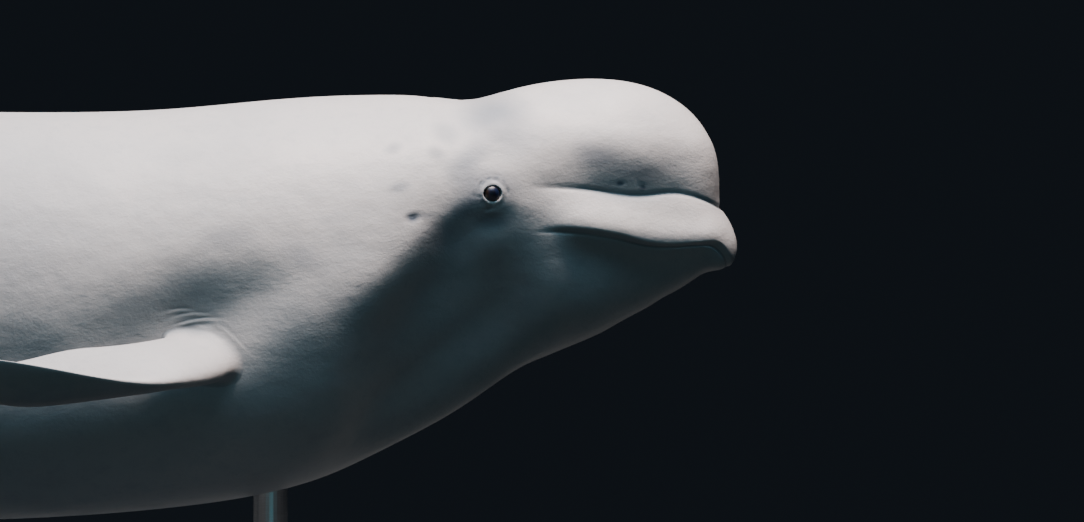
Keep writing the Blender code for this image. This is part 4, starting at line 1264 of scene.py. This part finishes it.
def eye_material(name, side):
    """Wet dark eye by angle from its axis: pupil, brown ring behind, a painted bluish
    reflection over the front, rim.
    """
    g = Graph(name)
    centre = to_world(EYE_CENTRE, side)
    outward = EYE_OUT * [-1.0, side, 1.0]
    ray = g.node("ShaderNodeVectorMath", {0: g.place(), 1: centre.tolist()},
                 operation="SUBTRACT").outputs[0]
    unit = g.node("ShaderNodeVectorMath", {0: ray}, operation="NORMALIZE").outputs[0]
    facing = g.node("ShaderNodeVectorMath", {0: unit, 1: outward.tolist()},
                    operation="DOT_PRODUCT").outputs["Value"]
    angle = g.node("ShaderNodeMath", {0: facing}, operation="ARCCOSINE").outputs[0]
    ahead = g.node("ShaderNodeSeparateXYZ", {0: unit}).outputs["X"]
    streaks = g.noise(g.scaled((900.0, 900.0, 900.0)), 1.0, 3.0, 0.6)
    brown = g.blend(streaks, (0.022, 0.012, 0.006, 1.0), (0.060, 0.034, 0.018, 1.0))
    # Painted reflection: a bluish tint laid over the front half of the eye
    painted_blue_reflection = g.blend(streaks, (0.004, 0.008, 0.026, 1.0), (0.010, 0.022, 0.075, 1.0))
    iris_and_painted_reflection = g.blend(g.ramp(ahead, -0.45, 0.10), brown, painted_blue_reflection)
    colour = g.layers(iris_and_painted_reflection, ((angle, 0.42, 0.20, 0.75, (0.003, 0.003, 0.005, 1.0)),
                             (angle, 0.66, 0.80, 1.0, (0.014, 0.012, 0.014, 1.0))))
    wet = g.noise(g.scaled((60.0, 60.0, 60.0)), 1.0, 2.0, 0.5)
    roughness = g.ramp(wet, 0.3, 0.7, 0.24, 0.36)
    shader = g.shader.inputs
    shader["Coat Weight"].default_value = 0.10
    shader["Coat Roughness"].default_value = 0.08
    return g.finish(colour, roughness)


def base_material():
    """Dark powder coat with a fine orange-peel grain and faint dust."""
    g = Graph("stand_base")
    grain = g.noise(g.place(), 700.0, 3.0, 0.6)
    dust = g.noise(g.place(), 5.0, 6.0, 0.65)
    colour = g.layers((0.075, 0.078, 0.085, 1.0), (
        (dust, 0.45, 0.80, 0.30, (0.17, 0.17, 0.165, 1.0)),
        (grain, 0.5, 0.8, 0.25, (0.14, 0.14, 0.15, 1.0))))
    roughness = g.ramp(dust, 0.3, 0.8, 0.48, 0.68)
    return g.finish(colour, roughness, g.bump(grain, 0.0004, 0.5))


def rod_material():
    """Brushed steel, its marks running round the rod."""
    g = Graph("stand_rod")
    brush = g.noise(g.scaled((40.0, 40.0, 2600.0)), 1.0, 3.0, 0.6)
    smear = g.noise(g.place(), 9.0, 4.0, 0.6)
    colour = g.layers((0.50, 0.51, 0.53, 1.0), (
        (brush, 0.3, 0.7, 1.0, (0.66, 0.67, 0.69, 1.0)),
        (smear, 0.5, 0.8, 0.3, (0.44, 0.45, 0.46, 1.0))))
    roughness = g.ramp(smear, 0.3, 0.7, 0.26, 0.40)
    return g.finish(colour, roughness, g.bump(brush, 0.0001, 0.5), 1.0)


def floor_material():
    """Plain pale matt floor with a barely seen mottle."""
    g = Graph("floor")
    cloud = g.noise(g.place(), 1.5, 4.0, 0.5)
    colour = g.layers((0.50, 0.50, 0.50, 1.0),
                      ((cloud, 0.3, 0.7, 1.0, (0.54, 0.54, 0.54, 1.0)),))
    return g.finish(colour, 0.75)


def floor_disc():
    """Round floor under the stand."""
    rings, columns = 9, 128
    reach = np.linspace(0, 1, rings)[:, None] * FLOOR_RADIUS
    turn = 2 * math.pi * np.arange(columns)[None, :] / columns
    grid = np.stack(np.broadcast_arrays(FLOOR_MIDDLE_X + reach * np.cos(turn),
                                        reach * np.sin(turn), -FLOOR_DROP), axis=2)
    sheets = Sheets()
    numbers = sheets.add(grid)
    numbers[0] = numbers[0, 0]
    sheets.quads(numbers, lay_out(rings, columns + 1, (0, 1, 0, 1)), around=True)
    return closed_mesh("floor", grid.reshape(-1, 3), np.concatenate(sheets.faces))


def area_light(name, place, target, size, power, colour):
    """Soft oblong light that looks at a target."""
    data = bpy.data.lights.new(name, "AREA")
    data.shape = "RECTANGLE"
    data.size, data.size_y = size
    data.energy = power
    data.color = colour
    item = bpy.data.objects.new(name, data)
    item.location = place
    way = unit(np.subtract(target, place))
    item.rotation_euler = (math.acos(-way[2]), 0.0, math.atan2(-way[0], way[1]))
    bpy.context.scene.collection.objects.link(item)
    return item


skin = whale_skin()
skin.data.materials.append(skin_material())
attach(skin, "root")
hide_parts(*FLESH)

for side, name in ((-1, "right"), (1, "left")):
    eye = eyeball("eyeball_" + name, side)
    eye.data.materials.append(eye_material("eye_" + name, side))
    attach(eye, "root")
    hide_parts("eye_" + name)

frame["nodes"]["stand_base"].material_slots[0].material = base_material()
steel = rod_material()
for name in ("stand_rod_front", "stand_rod_rear"):
    frame["nodes"][name].material_slots[0].material = steel

floor = floor_disc()
floor.data.materials.append(floor_material())

# The key light overhead and the cool room light fall on the model alone, the
# house light on the floor alone, and a faint fill from the side on both
lamps = {name: area_light(name, *row) for name, row in LIGHTS.items()}
figure = bpy.data.collections.new("figure")
ground = bpy.data.collections.new("ground")
for item in bpy.data.objects:
    if item.type == "MESH":
        (ground if item.name == floor.name else figure).objects.link(item)
for name, group in (("key", figure), ("room", figure), ("house", ground)):
    lamps[name].light_linking.receiver_collection = group
floor.visible_diffuse = False
skin.visible_diffuse = False
world = bpy.data.worlds.new("studio")
bpy.context.scene.world = world
world.use_nodes = True
sky = world.node_tree.nodes["Background"]
sky.inputs["Color"].default_value = WORLD_COLOUR
sky.inputs["Strength"].default_value = 1.0

# Level camera at the photo's distance and framing
lens = bpy.data.cameras.new("camera")
lens.sensor_width = CAMERA_SENSOR
lens.lens = lens.sensor_width * CAMERA_DISTANCE / FRAME_WIDTH
camera = bpy.data.objects.new("camera", lens)
camera.location = (NOSE_X - FRAME_MIDDLE_BACK, -CAMERA_DISTANCE,
                   LEVEL_Z + FRAME_MIDDLE_UP)
camera.rotation_euler = (math.radians(90), 0.0, 0.0)
bpy.context.scene.collection.objects.link(camera)
bpy.context.scene.camera = camera
